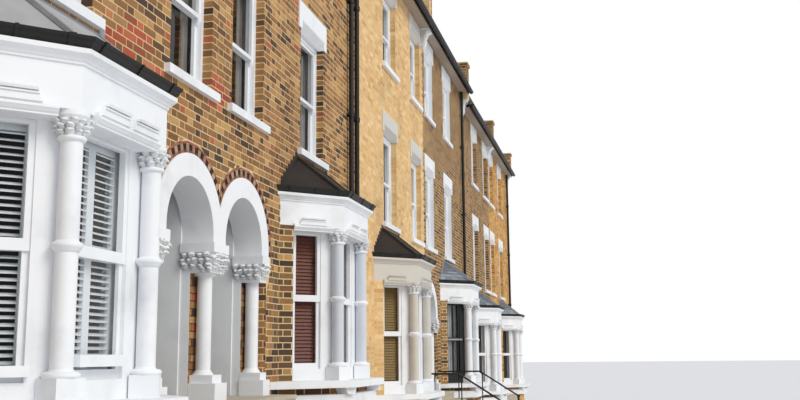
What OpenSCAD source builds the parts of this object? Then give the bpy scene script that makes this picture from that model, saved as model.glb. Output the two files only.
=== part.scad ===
// A row of six three-storey brick town houses in mirrored pairs, with canted bays,
// paired round-arched porches and a slate roof. Each pair steps down along the street.
// Millimetres, +Z up, street side towards -Y, the highest pair towards -X.

/* [Row] */
// Number of mirrored pairs of houses
pair_count = 3; // [1:1:4]
// Width of one house, from party line to party line
house_w = 5350; // [4800:10:6200]
// How far each pair lies below the one on its left
pair_step = 340; // [0:10:600]
// Depth of a house over its front and rear walls
house_d = 8400; // [6500:50:11000]

/* [Walls] */
// Thickness of the front and rear walls
wall_t = 330; // [215:5:450]
// Thickness of a party wall
party_t = 310; // [215:5:450]
// Thickness of the wall at each end of the row
end_t = 225; // [215:5:450]
// Thickness of a floor, boards and joists
floor_t = 240; // [180:5:350]

/* [Levels above the porch floor] */
// Porch floor above the ground of the lowest pair
porch_rise = 1155; // [900:15:1500]
// Top of the first floor
first_floor = 2620; // [2500:10:2900]
// Top of the second floor
second_floor = 5480; // [5300:10:5700]
// Top of the sills of the first floor windows
first_sill = 3085; // [3000:10:3200]
// Height of a first floor window opening
first_window_h = 1640; // [1400:10:1800]
// Top of the sills of the second floor windows
second_sill = 6000; // [5800:10:6050]
// Height of a second floor window opening
second_window_h = 1380; // [1200:10:1450]
// Gap between the second floor lintels and the eaves soffit
soffit_gap = 40; // [20:5:200]

/* [Upper windows] */
// Width of the window over the porch
porch_window_w = 935; // [800:5:1000]
// Centre of the window over the porch, from the party line of the pair
porch_window_x = 730; // [690:5:800]
// Width of the window over the bay
bay_window_w = 1000; // [800:5:1200]
// How far the sash boxes sit back from the wall face
sash_setback = 100; // [60:5:140]
// Height of the sash box's foot over the sill
sash_foot = 45; // [30:5:80]
// Width of a sash stile
sash_stile = 45; // [35:1:60]
// Height of a meeting rail or top rail
sash_rail = 45; // [35:1:60]
// Depth of a sash box
sash_box_d = 110; // [80:5:130]
// Height of a window sill
sill_h = 85; // [60:5:120]
// How far a sill stands out from the wall
sill_out = 60; // [30:5:100]
// How far a sill runs past each side of its opening
sill_ear = 105; // [50:5:130]
// Height of a window lintel
lintel_h = 370; // [250:5:400]
// How far a lintel runs past each side of its opening
lintel_ear = 100; // [60:5:105]
// How far a lintel stands out from the wall
lintel_out = 18; // [8:1:40]
// Height of the chamfer on a lintel's lower edge
lintel_chamfer = 90; // [60:5:120]
// How deep a lintel is set into the wall
lintel_d = 110; // [100:5:120]

/* [Porch] */
// Centre of a porch arch, from the party line of the pair
arch_x = 674; // [650:2:700]
// Inner radius of the white arch
arch_inner_r = 519; // [480:1:530]
// Outer radius of the white arch
arch_outer_r = 738; // [720:1:760]
// Thickness of the brick ring round the white arch
ring_t = 115; // [90:5:130]
// Height of the arch centres above the porch floor
arch_centre = 1620; // [1600:5:1750]
// How far the white arch stands out from the wall
arch_out = 15; // [5:1:30]
// Depth of the brick ring into the wall
ring_depth = 110; // [100:5:215]
// Top of the capitals above the porch floor
impost_top = 1560; // [1480:5:1600]
// Height of the slab on top of a capital
abacus_h = 95; // [60:5:120]
// Height of the carved part of a capital
capital_h = 205; // [150:5:240]
// How far a capital stands out past its pier
capital_out = 35; // [20:1:50]
// Depth of the rebate that a porch column stands in
rebate_d = 227; // [200:1:260]
// Width of the rebate beside the opening
rebate_w = 187; // [170:1:200]
// Diameter of a porch column
column_d = 150; // [120:2:170]
// Height of the wider block under a porch column
block_h = 170; // [120:5:220]
// Height of the narrower block on top of it
upper_block_h = 80; // [50:5:120]
// Height of the flared foot of a porch column
flare_h = 50; // [30:5:70]
// Depth of the lobby from the back of the front wall to the door
lobby_d = 1000; // [600:10:1500]
// Thickness of the lobby's side wall
lobby_wall_t = 110; // [100:5:215]
// Thickness of the painted render in the lobby
render_t = 15; // [8:1:25]
// Width of the front door
door_w = 880; // [800:5:900]
// Height of the front door
door_h = 1980; // [1900:10:2050]

/* [Bay] */
// Centre of the bay, from the party line of the pair
bay_x = 3050; // [2900:10:3200]
// Half the width of the bay's front
bay_front = 600; // [550:5:700]
// How far the bay stands out from the wall
bay_out = 620; // [500:5:700]
// Thickness of the bay's base walls and brick piers
bay_wall_t = 230; // [215:5:260]
// Length of the brick pier on each canted side
bay_pier_w = 180; // [150:5:240]
// Underside of the ledge above the porch floor
ledge_level = 50; // [0:5:100]
// Thickness of the ledge
ledge_h = 85; // [60:5:110]
// How far the ledge stands out past the bay
ledge_out = 200; // [60:5:220]
// How far the band under the ledge stands out from the bay's brickwork
band_out = 100; // [60:5:120]
// How far the brackets under the ledge stand out
bracket_out = 150; // [110:5:180]
// Width of a bracket at its top
bracket_w = 220; // [150:5:260]
// Height of the white band below the brick course under the ledge
band_h = 150; // [100:5:250]
// Height of the brick course between band and ledge
recess_h = 80; // [60:5:110]
// Underside of the frieze above the porch floor
frieze_level = 2005; // [1950:5:2100]
// Height of the frieze
frieze_h = 300; // [200:5:340]
// Height of the cornice
cornice_h = 95; // [80:5:130]
// How far the cornice stands out past the frieze
cornice_out = 70; // [50:5:120]
// Diameter of a bay column
bay_column_d = 145; // [120:1:160]
// Distance of a bay column from the bay's centre line
bay_column_x = 552; // [480:5:580]
// Width of the post behind a bay column
bay_post_w = 200; // [150:5:240]
// Distance of a bay column's centre behind the face of the frieze
bay_column_in = 88; // [75:1:100]
// Level of the ring round the middle of a bay column, above the porch floor
bay_ring_level = 1130; // [900:10:1300]
// Height of the block under a bay column
bay_block_h = 165; // [150:5:240]
// Height of the carved part of a bay capital
bay_capital_h = 140; // [120:5:200]
// Height of the round slab on top of a bay capital
bay_abacus_h = 40; // [30:5:60]
// How far the bay windows sit back from the face of the frieze
bay_sash_back = 160; // [100:5:180]
// Thickness of a bay window frame
bay_frame_d = 60; // [50:5:80]
// Width of a stile of the bay's sashes with its frame
bay_stile = 45; // [30:5:80]
// Height of a meeting rail of the bay's sashes
bay_rail = 40; // [30:2:60]
// Foot of the bay's window openings above the porch floor
light_foot = 275; // [200:5:400]
// Head of the bay's window openings above the porch floor
light_head = 1960; // [1800:5:2000]
// Width of the window opening in the bay's front
front_light = 690; // [500:10:800]
// Width of the window opening in a canted side
cant_light = 385; // [300:5:450]
// Distance of that opening from the wall, along the canted side
cant_light_x = 255; // [200:5:300]
// Width of a raised block on the hood moulds
hood_block_w = 340; // [250:10:360]
// Gap between the two blocks on the bay's front
hood_gap = 90; // [50:5:150]
// Top of the bay roof where it meets the wall, above the porch floor
bay_roof_top = 2940; // [2850:10:3000]

/* [Eaves and roof] */
// How far the soffit stands out from the front and rear walls
eaves_out = 220; // [200:5:350]
// Thickness of the soffit boards
soffit_t = 20; // [12:1:30]
// Height of the fascia board
fascia_h = 150; // [150:5:230]
// Thickness of the fascia board
fascia_t = 25; // [20:1:40]
// Radius of the eaves gutters
gutter_r = 60; // [50:1:70]
// Slope of the roof in degrees
roof_pitch = 33; // [28:1:38]
// Thickness of the roof, slates on battens and rafters
roof_t = 150; // [120:5:200]
// Height of the parapet on a party wall above the roof
parapet_h = 110; // [80:5:200]
// Top of a party wall's brick head over the eaves, above the soffit
head_top = 845; // [700:5:1000]
// How far the cap of a brick head oversails
cap_out = 30; // [20:5:50]
// Height of that cap
head_cap_h = 90; // [60:5:150]
// Distance between the joints of a rainwater pipe
pipe_length = 1830; // [1200:10:2000]
// Diameter of a rainwater pipe
pipe_d = 76; // [65:1:90]

/* [Chimneys] */
// Width of a chimney stack along the street
chimney_w = 560; // [450:10:700]
// Depth of a chimney stack
chimney_d = 1500; // [1000:10:1800]
// Height of a chimney stack above the ridge
chimney_h = 1050; // [600:10:1500]
// Height of the oversailing courses at its top
chimney_cap_h = 120; // [80:5:200]
// How far those courses oversail
chimney_cap_out = 40; // [20:5:60]
// Number of pots on a stack
pot_count = 4; // [2:1:5]
// Height of a chimney pot
pot_h = 420; // [300:10:600]
// Diameter of a chimney pot
pot_d = 230; // [200:5:260]

/* [Entrance steps] */
// Number of risers from the ground of a pair to its porch floor
riser_count = 7; // [5:1:9]
// Depth of one tread
tread_d = 260; // [230:5:300]
// Depth of the landing in front of the porch
landing_d = 330; // [250:5:500]
// How far the flight that a pair shares runs past each outer side of the porches
flight_side = 100; // [60:5:250]
// Thickness of a stone tread
tread_t = 45; // [30:5:60]
// How far a tread stands out over its riser
nosing = 20; // [10:1:40]

// Level of the handrail over the porch floor
rail_level = 420; // [350:10:1000]
// Diameter of the handrail
rail_d = 34; // [28:1:50]

/* [Hidden] */

brick = [0.72, 0.56, 0.36];
red_brick = [0.62, 0.32, 0.22];
stucco = [0.92, 0.93, 0.94];
lobby_grey = [0.75, 0.76, 0.78];
timber_white = [0.94, 0.95, 0.96];
iron_black = [0.08, 0.08, 0.09];
slate = [0.36, 0.38, 0.42];
stone_buff = [0.78, 0.76, 0.72];
board = [0.66, 0.55, 0.42];
pane = [0.55, 0.65, 0.70];
door_blue = [0.16, 0.22, 0.32];

$fn = 48;
eps = 1;
glass_t = 6;
gutter_skin = 6;
// Gap between the bay's bent sheet of glass and the frames that hold it
seat = 0.3;
root2 = sqrt(2);
// Plan offset of a corner of the bay for each unit that its faces move out
corner_shift = tan(22.5);
bay_half = bay_front + bay_out;
// Share of a window's height that is under its meeting rails
meeting_share = 0.51;

riser_h = porch_rise / riser_count;
steps_out = landing_d + (riser_count - 1) * tread_d + nosing;
rear_out = eaves_out + fascia_t + 2 * gutter_r;
// Everything is drawn with the front wall's face at y = 0 and then moved to the centre
y_shift = (steps_out - (house_d + rear_out)) / 2;

ring_outer_r = arch_outer_r + ring_t;
opening_near = arch_x - arch_inner_r;
opening_far = arch_x + arch_inner_r;
rebate_far = opening_far + rebate_w;
flight_half = rebate_far + flight_side;
// The porch columns stand a little off the brick behind them, and off the opening
column_back_gap = 15;
column_side_gap = 32;
column_y = rebate_d - column_d / 2 - column_back_gap;
column_far_x = opening_far + column_d / 2 + column_side_gap;
shaft_base = block_h + upper_block_h + flare_h;
capital_base = impost_top - abacus_h - capital_h;

ledge_top = ledge_level + ledge_h;
band_top = ledge_level - recess_h;
// The hood moulds start below the frieze and lap over its foot
hood_drop = 60;
hood_level = frieze_level - hood_drop;
hood_run_h = 85;
// Half the length of a hood mould between the columns of a bay's front
hood_half = bay_column_x - bay_column_d / 2 - 40;
// Its far end on a canted side, from the wall
hood_cant_far = 733;
cornice_level = frieze_level + frieze_h;
bay_eaves = cornice_level + cornice_h;

ridge_y = house_d / 2;
// The soffit lies just over the lintels of the second floor
soffit_level = second_sill + second_window_h + lintel_h + soffit_gap;
eaves_top = soffit_level + fascia_h;
roof_rise = (ridge_y + eaves_out) * tan(roof_pitch);
ridge_level = eaves_top + roof_rise;
// Foot of a chimney stack, below the roof on both sides of it
chimney_bedding = 400;
chimney_foot = ridge_level - (chimney_d / 2) * tan(roof_pitch) - chimney_bedding;

// The lobby's walls reach the underside of the first floor
lobby_h = first_floor - floor_t;

// Height of the front slope's underside over a pair's porch floor, at a depth y
function roof_underside(y) = eaves_top + (y + eaves_out) * tan(roof_pitch);
// Party line of a pair, and the level of its porch floor
function pair_x(p) = (2 * p - (pair_count - 1)) * house_w;
function pair_z(p) = porch_rise + (pair_count - 1 - p) * pair_step;

// One pair's frame: x from its shared party line, z from its porch floor
module at_pair(p) {
    translate([pair_x(p), y_shift, pair_z(p)]) children();
}

module each_pair() {
    for (p = [0:pair_count - 1]) at_pair(p) children();
}

// Both houses of a pair, the left one mirrored
module both_houses() {
    children();
    mirror([1, 0, 0]) children();
}

module each_house() {
    each_pair() both_houses() children();
}

// A box from two opposite corners
module block(low, high) {
    translate(low) cube(high - low);
}

// A profile in (y, z) drawn along x between two places
module along_x(x0, x1) {
    translate([x0, 0, 0]) rotate([90, 0, 90]) linear_extrude(x1 - x0) children();
}

// A profile in (x, z) drawn along y between two places
module along_y(y0, y1) {
    translate([0, y1, 0]) rotate([90, 0, 0]) linear_extrude(y1 - y0) children();
}

// Plan outline of the bay with its three faces moved out by a distance
function bay_outline(out) = [
    [-(bay_half + out * root2), 0],
    [-(bay_front + out * corner_shift), -(bay_out + out)],
    [bay_front + out * corner_shift, -(bay_out + out)],
    [bay_half + out * root2, 0]
];

module bay_prism(out, z0, z1) {
    translate([0, 0, z0]) linear_extrude(z1 - z0) polygon(bay_outline(out));
}

// A wall that follows the bay's three faces
module bay_shell(out, thick, z0, z1) {
    translate([0, 0, z0]) linear_extrude(z1 - z0) difference() {
        polygon(bay_outline(out));
        translate([0, eps, 0]) polygon(bay_outline(out - thick));
    }
}

// A moulding, given as points (out, up) in clockwise order, mitred round the bay's faces
module bay_moulding(profile) {
    n = len(profile);
    corners = [for (i = [0:3]) for (p = profile) let (plan = bay_outline(p[0])[i])
        [plan[0], plan[1], p[1]]];
    sides = [for (i = [0:2]) for (j = [0:n - 1])
        [i * n + j, (i + 1) * n + j, (i + 1) * n + (j + 1) % n, i * n + (j + 1) % n]];
    ends = [[for (j = [n - 1:-1:0]) j], [for (j = [0:n - 1]) 3 * n + j]];
    polyhedron(corners, concat(sides, ends));
}

// Places its children at the four window openings of one house's upper front wall,
// as $w wide, $h high, with the sill top at z = 0 and the centre at x = 0
module front_windows() {
    for (column = [[porch_window_x, porch_window_w], [bay_x, bay_window_w]])
        for (storey = [[first_sill, first_window_h], [second_sill, second_window_h]])
            translate([column[0], 0, storey[0]]) {
                $w = column[1];
                $h = storey[1];
                children();
            }
}

// The rear windows of one house, seen from behind, with their outer face at y = 0
module rear_windows() {
    ground_sill = 900;
    ground_h = 1450;
    for (x = [0.27, 0.72] * house_w)
        for (storey = [[ground_sill, ground_h], [first_sill, first_window_h],
                       [second_sill, second_window_h]])
            translate([x, house_d, storey[0]]) mirror([0, 1, 0]) {
                $w = bay_window_w;
                $h = storey[1];
                children();
            }
}

// Both porch openings of a pair in (x, z), out to a given radius and filled between them
module porch_hole(radius) {
    for (side = [-1, 1]) translate([side * arch_x, arch_centre]) circle(radius);
    translate([-arch_x - radius, 0]) square([2 * (arch_x + radius), arch_centre]);
}

// The lower front wall of a pair, from the ground to the first floor
module front_wall(p) {
    foot = -pair_z(p);
    at_pair(p) color(brick) difference() {
        block([-house_w, 0, foot], [house_w, wall_t, first_floor]);
        // Brick rings, then white arches, above the capitals
        along_y(-eps, ring_depth) above_imposts() porch_hole(ring_outer_r);
        along_y(-eps, wall_t + eps) above_imposts() porch_hole(arch_outer_r);
        // Rebates for the columns, and the whole depth of the capitals
        block([-rebate_far, -eps, 0], [rebate_far, rebate_d, impost_top]);
        block([-rebate_far, -eps, capital_base], [rebate_far, wall_t + eps, impost_top]);
        both_houses() block([opening_near, -eps, -tread_t],
            [opening_far, wall_t + eps, impost_top]);
        both_houses() bay_passage();
    }
}

// Keeps the part of a profile in (x, z) that lies above the capitals
module above_imposts() {
    intersection() {
        children();
        translate([-house_w, impost_top]) square([2 * house_w, first_floor - impost_top]);
    }
}

// The opening from a front room into its bay, floor included
module bay_passage() {
    half = bay_half - bay_wall_t * root2;
    block([bay_x - half, -eps, -floor_t], [bay_x + half, wall_t + eps, cornice_level]);
}

// The two arched openings of a pair in (x, z), up to a given height
module both_openings(top) {
    for (side = [-1, 1]) intersection() {
        translate([side * arch_x, arch_centre]) union() {
            circle(arch_inner_r);
            translate([-arch_inner_r, -arch_centre]) square([2 * arch_inner_r, arch_centre]);
        }
        translate([-house_w, 0]) square([2 * house_w, top]);
    }
}

// The upper front wall of a pair with its eight windows
module upper_wall(p) {
    at_pair(p) color(brick) difference() {
        along_x(-house_w, house_w) wall_section(first_floor);
        both_houses() front_windows() window_cut(lintel_ear);
    }
}

// Section of a front wall in (y, z), its top cut to the slope of the roof
module wall_section(foot) {
    polygon([
        [0, foot], [wall_t, foot],
        [wall_t, roof_underside(wall_t)], [0, roof_underside(0)]
    ]);
}

// What a window, its sill and its lintel take out of a wall
module window_cut(head_ear) {
    block([-$w / 2, -eps, 0], [$w / 2, wall_t + eps, $h]);
    block([-$w / 2 - head_ear, -eps, $h], [$w / 2 + head_ear, lintel_d, $h + lintel_h]);
    block([-$w / 2 - sill_ear, -eps, -sill_h], [$w / 2 + sill_ear, sash_setback, 0]);
}

module front_wall_left() { front_wall(0); }
module front_wall_middle() { front_wall(1); }
module front_wall_right() { front_wall(2); }
module upper_wall_left() { upper_wall(0); }
module upper_wall_middle() { upper_wall(1); }
module upper_wall_right() { upper_wall(2); }

module rear_walls() {
    color(brick) difference() {
        for (p = [0:pair_count - 1]) at_pair(p) difference() {
            translate([0, house_d, 0]) mirror([0, 1, 0])
                along_x(-house_w + party_t / 2, house_w - party_t / 2)
                    wall_section(-pair_z(p));
            both_houses() rear_windows() window_cut(0);
        }
        end_walls();
    }
}

// Profile of a party wall in (y, z), with its parapet over both slopes
module party_profile(foot, y1) {
    top = roof_t / cos(roof_pitch) + parapet_h;
    back = house_d - wall_t;
    polygon(concat(
        [[wall_t, foot], [y1, foot]],
        y1 > back ? [[y1, roof_underside(house_d - y1)], [back, roof_underside(wall_t)]] : [],
        [[back, roof_underside(wall_t) + top], [ridge_y, roof_underside(ridge_y) + top],
         [wall_t, roof_underside(wall_t) + top]]
    ));
}

module party_walls() {
    color(brick) difference() {
        union() {
            for (p = [0:pair_count - 1]) at_pair(p)
                along_x(-party_t / 2, party_t / 2) party_profile(-pair_z(p), house_d - wall_t);
            for (k = [0:pair_count]) boundary(k, 0)
                party_profile(-pair_z(max(k - 1, 0)), house_d);
        }
        each_pair() chimney_hole(0);
    }
}

// Draws a (y, z) profile as the wall at the left end of pair k, or at the row's right end,
// at the level of the higher of the two pairs that meet there; with left_share 0 only
// the half over the lower pair
module boundary(k, out, left_share = 1) {
    x = pair_x(0) + (2 * k - 1) * house_w;
    x0 = x - left_share * (k == 0 ? 0 : k == pair_count ? end_t : party_t / 2) - out;
    x1 = x + (k == 0 ? end_t : k == pair_count ? 0 : party_t / 2) + out;
    translate([0, y_shift, pair_z(max(k - 1, 0))]) along_x(x0, x1) children();
}

// What the two end walls of the row take from floors and roofs
module end_walls() {
    edge = pair_count * house_w;
    for (side = [0, 1]) mirror([side, 0, 0])
        block([edge - end_t, -3 * house_d, -eps], [edge + eps, 3 * house_d, 4 * second_floor]);
}

// The place of a chimney stack in a pair's party wall and roof
module chimney_hole(gap) {
    block([-chimney_w / 2 - gap, ridge_y - chimney_d / 2 - gap, chimney_foot],
        [chimney_w / 2 + gap, ridge_y + chimney_d / 2 + gap, 2 * ridge_level]);
}

module floors() {
    color(board) difference() {
        each_house() {
            for (top = [0, first_floor, second_floor])
                block([party_t / 2, wall_t, top - floor_t],
                    [house_w - party_t / 2, house_d - wall_t, top]);
            // The ground floor runs on into the bay
            half = bay_half - bay_wall_t * root2;
            block([bay_x - half, 0, -floor_t], [bay_x + half, wall_t + eps, 0]);
            translate([bay_x, 0, 0]) bay_prism(-bay_wall_t, -floor_t, 0);
        }
        end_walls();
    }
}

// One slope of the roof in (y, z), from the eaves to the ridge
module slope_profile() {
    polygon([
        [-eaves_out, roof_underside(-eaves_out)], [ridge_y, ridge_level],
        [ridge_y, ridge_level + roof_t / cos(roof_pitch)],
        [-eaves_out, roof_underside(-eaves_out) + roof_t / cos(roof_pitch)]
    ]);
}

module roof_front() {
    color(slate) difference() {
        each_house() along_x(party_t / 2, house_w - party_t / 2) slope_profile();
        end_walls();
        each_pair() chimney_hole(0);
    }
}

module roof_rear() {
    color(slate) difference() {
        each_house() translate([0, house_d, 0]) mirror([0, 1, 0])
            along_x(party_t / 2, house_w - party_t / 2) slope_profile();
        end_walls();
        each_pair() chimney_hole(0);
    }
}

// Rolled ridge tiles with two wings
module ridge_tiles() {
    wing = 150;
    wing_t = 20;
    roll = [60, 10];
    roll_h = 45;
    drop = wing * tan(roof_pitch);
    color(red_brick) difference() {
        each_house() translate([0, ridge_y, ridge_level + roof_t / cos(roof_pitch)])
            along_x(party_t / 2, house_w - party_t / 2) polygon([
                [-wing, -drop], [-wing, wing_t - drop], [-roll[0], roll[1]], [0, roll_h], roll,
                [wing, wing_t - drop], [wing, -drop], [0, 0]
            ]);
        end_walls();
        each_pair() chimney_hole(0);
    }
}

module chimney_stacks() {
    half = [chimney_w / 2, chimney_d / 2];
    wide = half + [chimney_cap_out, chimney_cap_out];
    top = ridge_level + chimney_h;
    color(brick) each_pair() translate([0, ridge_y, 0]) {
        block([-half[0], -half[1], chimney_foot], [half[0], half[1], top - chimney_cap_h]);
        block([-wide[0], -wide[1], top - chimney_cap_h], [wide[0], wide[1], top]);
    }
}

// Tapering pots with a thick foot and a rolled lip, in a row along each stack
module chimney_pots() {
    pitch = chimney_d / pot_count;
    r = pot_d / 2;
    wall = 35;
    color(red_brick) each_pair() for (k = [0:pot_count - 1])
        translate([0, ridge_y + (k - (pot_count - 1) / 2) * pitch, ridge_level + chimney_h])
            rotate_extrude() polygon([
                [r - 30, 0], [r + 15, 0], [r, 60], [r - 20, pot_h - 60], [r, pot_h - 40],
                [r, pot_h], [r - wall, pot_h]
            ]);
}

// The brick ends of the party walls, carried out over both eaves, with oversailing caps
module parapet_ends() {
    color(brick) {
        for (k = [0:pair_count]) {
            inside = k > 0 && k < pair_count;
            low = inside ? pair_step - fascia_h : 0;
            boundary(k, 0) rear_end(low);
            boundary(k, 0) parapet_end(low, 0);
            if (inside) boundary(k, 0, 0) parapet_end(low, pair_step);
            boundary(k, cap_out) parapet_caps();
        }
        each_pair() {
            along_x(-party_t / 2, party_t / 2) parapet_end(0, 0);
            along_x(-party_t / 2, party_t / 2) rear_end(0);
            along_x(-party_t / 2 - cap_out, party_t / 2 + cap_out) parapet_caps();
        }
    }
}

// Section of a parapet end in (y, z), starting some way under the soffit; over a lower
// pair it also goes down to that pair's front wall
module parapet_end(low, drop) {
    foot = soffit_level - low;
    polygon([
        [-eaves_out, foot], [0, foot], [0, roof_underside(0) - drop],
        [wall_t, roof_underside(wall_t) - drop],
        [wall_t, soffit_level + head_top - head_cap_h],
        [-eaves_out, soffit_level + head_top - head_cap_h]
    ]);
}

module rear_end(low) {
    translate([house_d, 0]) mirror([1, 0]) parapet_end(low, 0);
}

module parapet_caps() {
    top = soffit_level + head_top;
    for (side = [0, 1]) translate([side * house_d, 0]) mirror([side, 0])
        translate([-eaves_out - cap_out, top - head_cap_h])
            square([eaves_out + cap_out + wall_t, head_cap_h]);
}

module soffit_boards() {
    color(timber_white) difference() {
        each_house() for (y = [-eaves_out, house_d])
            block([party_t / 2, y, soffit_level],
                [house_w - party_t / 2, y + eaves_out, soffit_level + soffit_t]);
        end_walls();
    }
}

// Boards on both eaves, with a drip under the level of the soffit
module fascia_boards() {
    drip = 10;
    color(iron_black) each_pair() for (y = [-eaves_out - fascia_t, house_d + eaves_out])
        block([-house_w, y, soffit_level - drip], [house_w, y + fascia_t, eaves_top]);
}

// Section of a half-round gutter in (y, z), its open top at z = 0
function gutter_points() = let (inner_r = gutter_r - gutter_skin, turns = [0:15:180]) concat(
    [for (a = turns) [gutter_r * cos(a), -gutter_r * sin(a)]],
    [for (a = turns) [-inner_r * cos(a), -inner_r * sin(a)]]
);

// Half-round gutters with closed ends; their lips lie a little over the soffit
module eaves_gutters() {
    lip = soffit_level + 50;
    off = eaves_out + fascia_t + gutter_r;
    color(iron_black) each_pair() for (y = [-off, house_d + off]) translate([0, y, lip]) {
        along_x(-house_w, house_w) polygon(gutter_points());
        for (x = [-house_w, house_w - gutter_skin]) along_x(x, x + gutter_skin)
            polygon([for (a = [0:15:180]) gutter_r * [cos(a), -sin(a)]]);
    }
}

// Rainwater pipes beside the party walls between the pairs, two of them at the first, with
// a socket and a bracket at each joint
module downpipes() {
    off = pipe_d / 2 + 30;
    pipe_gap = 80;
    second_pipe = 325;
    first_joint = 400;
    socket_h = 70;
    color(iron_black) for (k = [1:pair_count]) {
        x = pair_x(k - 1) + house_w;
        z = pair_z(k - 1) + soffit_level;
        // Clear of the corbel of the party wall at the boundary, or of the end wall
        beside = -pipe_gap - (k == pair_count ? end_t : party_t / 2);
        for (shift = k == 1 ? [beside - second_pipe, beside] : [beside])
            translate([x + shift, y_shift, 0]) {
                translate([0, -off, 0]) cylinder(h = z, d = pipe_d);
                for (level = [first_joint:pipe_length:z - 200]) translate([0, 0, level]) {
                    translate([0, -off, 0]) cylinder(h = socket_h, d = pipe_d + 22);
                    block([-pipe_d / 2 - 25, -off, 20], [pipe_d / 2 + 25, 0, 50]);
                }
            }
    }
}

// Scrolled corbels that carry the parapet ends
module eaves_corbels() {
    color(stucco) {
        for (k = [0:pair_count]) {
            low = k == 0 || k == pair_count ? 0 : pair_step - fascia_h;
            boundary(k, 0) translate([0, soffit_level - low]) corbel_profile();
        }
        each_pair() along_x(-party_t / 2, party_t / 2)
            translate([0, soffit_level]) corbel_profile();
    }
}

// Side view of the front and rear corbels in (y, z), their tops at z = 0
module corbel_profile() {
    reach = eaves_out - 5;
    half = concat(
        [[0, 0], [-reach, 0], [-reach, -50]],
        [for (a = [0:15:90]) [-reach + 95 * sin(a), -50 - 100 * (1 - cos(a))]],
        [[-reach + 120, -170], [-reach + 112, -200]],
        [for (a = [0:15:90]) [-reach + 112 + (reach - 112) * (1 - cos(a)), -200 - 200 * sin(a)]]
    );
    polygon(half);
    translate([house_d, 0]) mirror([1, 0]) polygon(half);
}

// A sash window's box frame with its two sashes
module sash_window(w, h) {
    lining = 50;
    meeting = h * 0.48;
    half = w / 2 - lining;
    front = [15, 50];
    back = [55, 90];
    bottom_rail = 75;
    translate([0, sash_setback, 0]) {
        along_y(0, sash_box_d) difference() {
            translate([-w / 2, 0]) square([w, h]);
            translate([-half, sash_foot]) square([2 * half, h - lining - sash_foot]);
        }
        // The upper sash stands in front of the lower one
        along_y(front[0], front[1]) sash(half, meeting - sash_rail / 2, h - lining, sash_rail);
        along_y(back[0], back[1]) sash(half, sash_foot, meeting + sash_rail / 2, bottom_rail);
        along_y(front[1], back[0])
            translate([-half, meeting - sash_rail / 2]) square([2 * half, sash_rail]);
    }
}

// One sash in (x, z), between two levels, with the height of its bottom rail
module sash(half, low, high, bottom) {
    difference() {
        translate([-half, low]) square([2 * half, high - low]);
        translate([-half + sash_stile, low + bottom])
            square([2 * (half - sash_stile), high - sash_rail - low - bottom]);
    }
}

module window_boxes() {
    color(timber_white) each_house() {
        front_windows() sash_window($w, $h);
        rear_windows() sash_window($w, $h);
    }
}

module window_glass() {
    back = sash_setback + sash_box_d;
    color(pane) each_house() {
        front_windows() block([-$w / 2, back, 0], [$w / 2, back + glass_t, $h]);
        rear_windows() block([-$w / 2, back, 0], [$w / 2, back + glass_t, $h]);
    }
}

// A sill of the window in hand, let into the wall under the opening
module sill_stone() {
    block([-$w / 2 - sill_ear, -sill_out, -sill_h], [$w / 2 + sill_ear, sash_setback, 0]);
}

module window_sills() {
    color(stucco) each_house() {
        front_windows() sill_stone();
        rear_windows() sill_stone();
    }
}

// A lintel of the window in hand, run past the opening by an ear
module lintel(ear) {
    stop = 20;
    difference() {
        block([-$w / 2 - ear, -lintel_out, $h], [$w / 2 + ear, lintel_d, $h + lintel_h]);
        // Stopped chamfer along the lower edge
        along_x(-$w / 2 + stop, $w / 2 - stop) polygon([
            [-lintel_out - eps, $h - eps], [lintel_chamfer * 0.7, $h - eps],
            [-lintel_out - eps, $h + lintel_chamfer]
        ]);
    }
}

module window_lintels() {
    color(stucco) each_house() {
        front_windows() lintel(lintel_ear);
        rear_windows() lintel(0);
    }
}

// Places its children at the bay of each house
module each_bay() {
    each_house() translate([bay_x, 0, 0]) children();
}

module bay_bases() {
    color(brick) for (p = [0:pair_count - 1]) at_pair(p) both_houses() translate([bay_x, 0, 0])
        bay_shell(0, bay_wall_t, -pair_z(p), ledge_level);
}

// The ledge, the band below it and the two tapered brackets between them
module bay_ledges() {
    taper = 35;
    color(stucco) each_bay() {
        bay_shell(ledge_out, ledge_out + bay_wall_t, ledge_level, ledge_top);
        bay_shell(band_out, band_out, band_top - band_h, band_top);
        intersection() {
            bay_shell(bracket_out, bracket_out, band_top, ledge_level);
            at_bay_corners() along_y(-2 * bracket_out, 2 * bracket_out) polygon([
                [-bracket_w / 2 + taper, band_top], [bracket_w / 2 - taper, band_top],
                [bracket_w / 2, ledge_level], [-bracket_w / 2, ledge_level]
            ]);
        }
    }
}

// Places its children at the two front corners of a bay, looking out along the mitres
module at_bay_corners() {
    for (side = [0, 1]) mirror([side, 0, 0]) translate([bay_front, -bay_out, 0])
        rotate([0, 0, 22.5]) children();
}

module bay_piers() {
    color(brick) each_bay() intersection() {
        bay_shell(0, bay_wall_t, ledge_top, frieze_level);
        pier_places();
    }
}

// The ends of the bay's canted sides where the brick piers stand
module pier_places() {
    for (side = [0, 1]) mirror([side, 0, 0]) translate([bay_half, 0, 0]) rotate([0, 0, 45])
        block([-bay_pier_w, -2 * bay_wall_t, -eps],
            [2 * bay_wall_t, 4 * bay_wall_t, frieze_level + eps]);
}

// Draws its children in the plane of the frames of the right canted side: y = 0 is their
// outer face, and x is 0 at the wall and negative along the side
module canted_side() {
    translate([bay_half, 0, 0]) rotate([0, 0, 45]) translate([0, bay_sash_back, 0])
        children();
}

// Draws its first child at the window in a bay's front and the second at both canted ones
module bay_lights() {
    translate([0, bay_sash_back - bay_out, 0]) children(0);
    for (side = [0, 1]) mirror([side, 0, 0]) canted_side() children(1);
}

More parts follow.
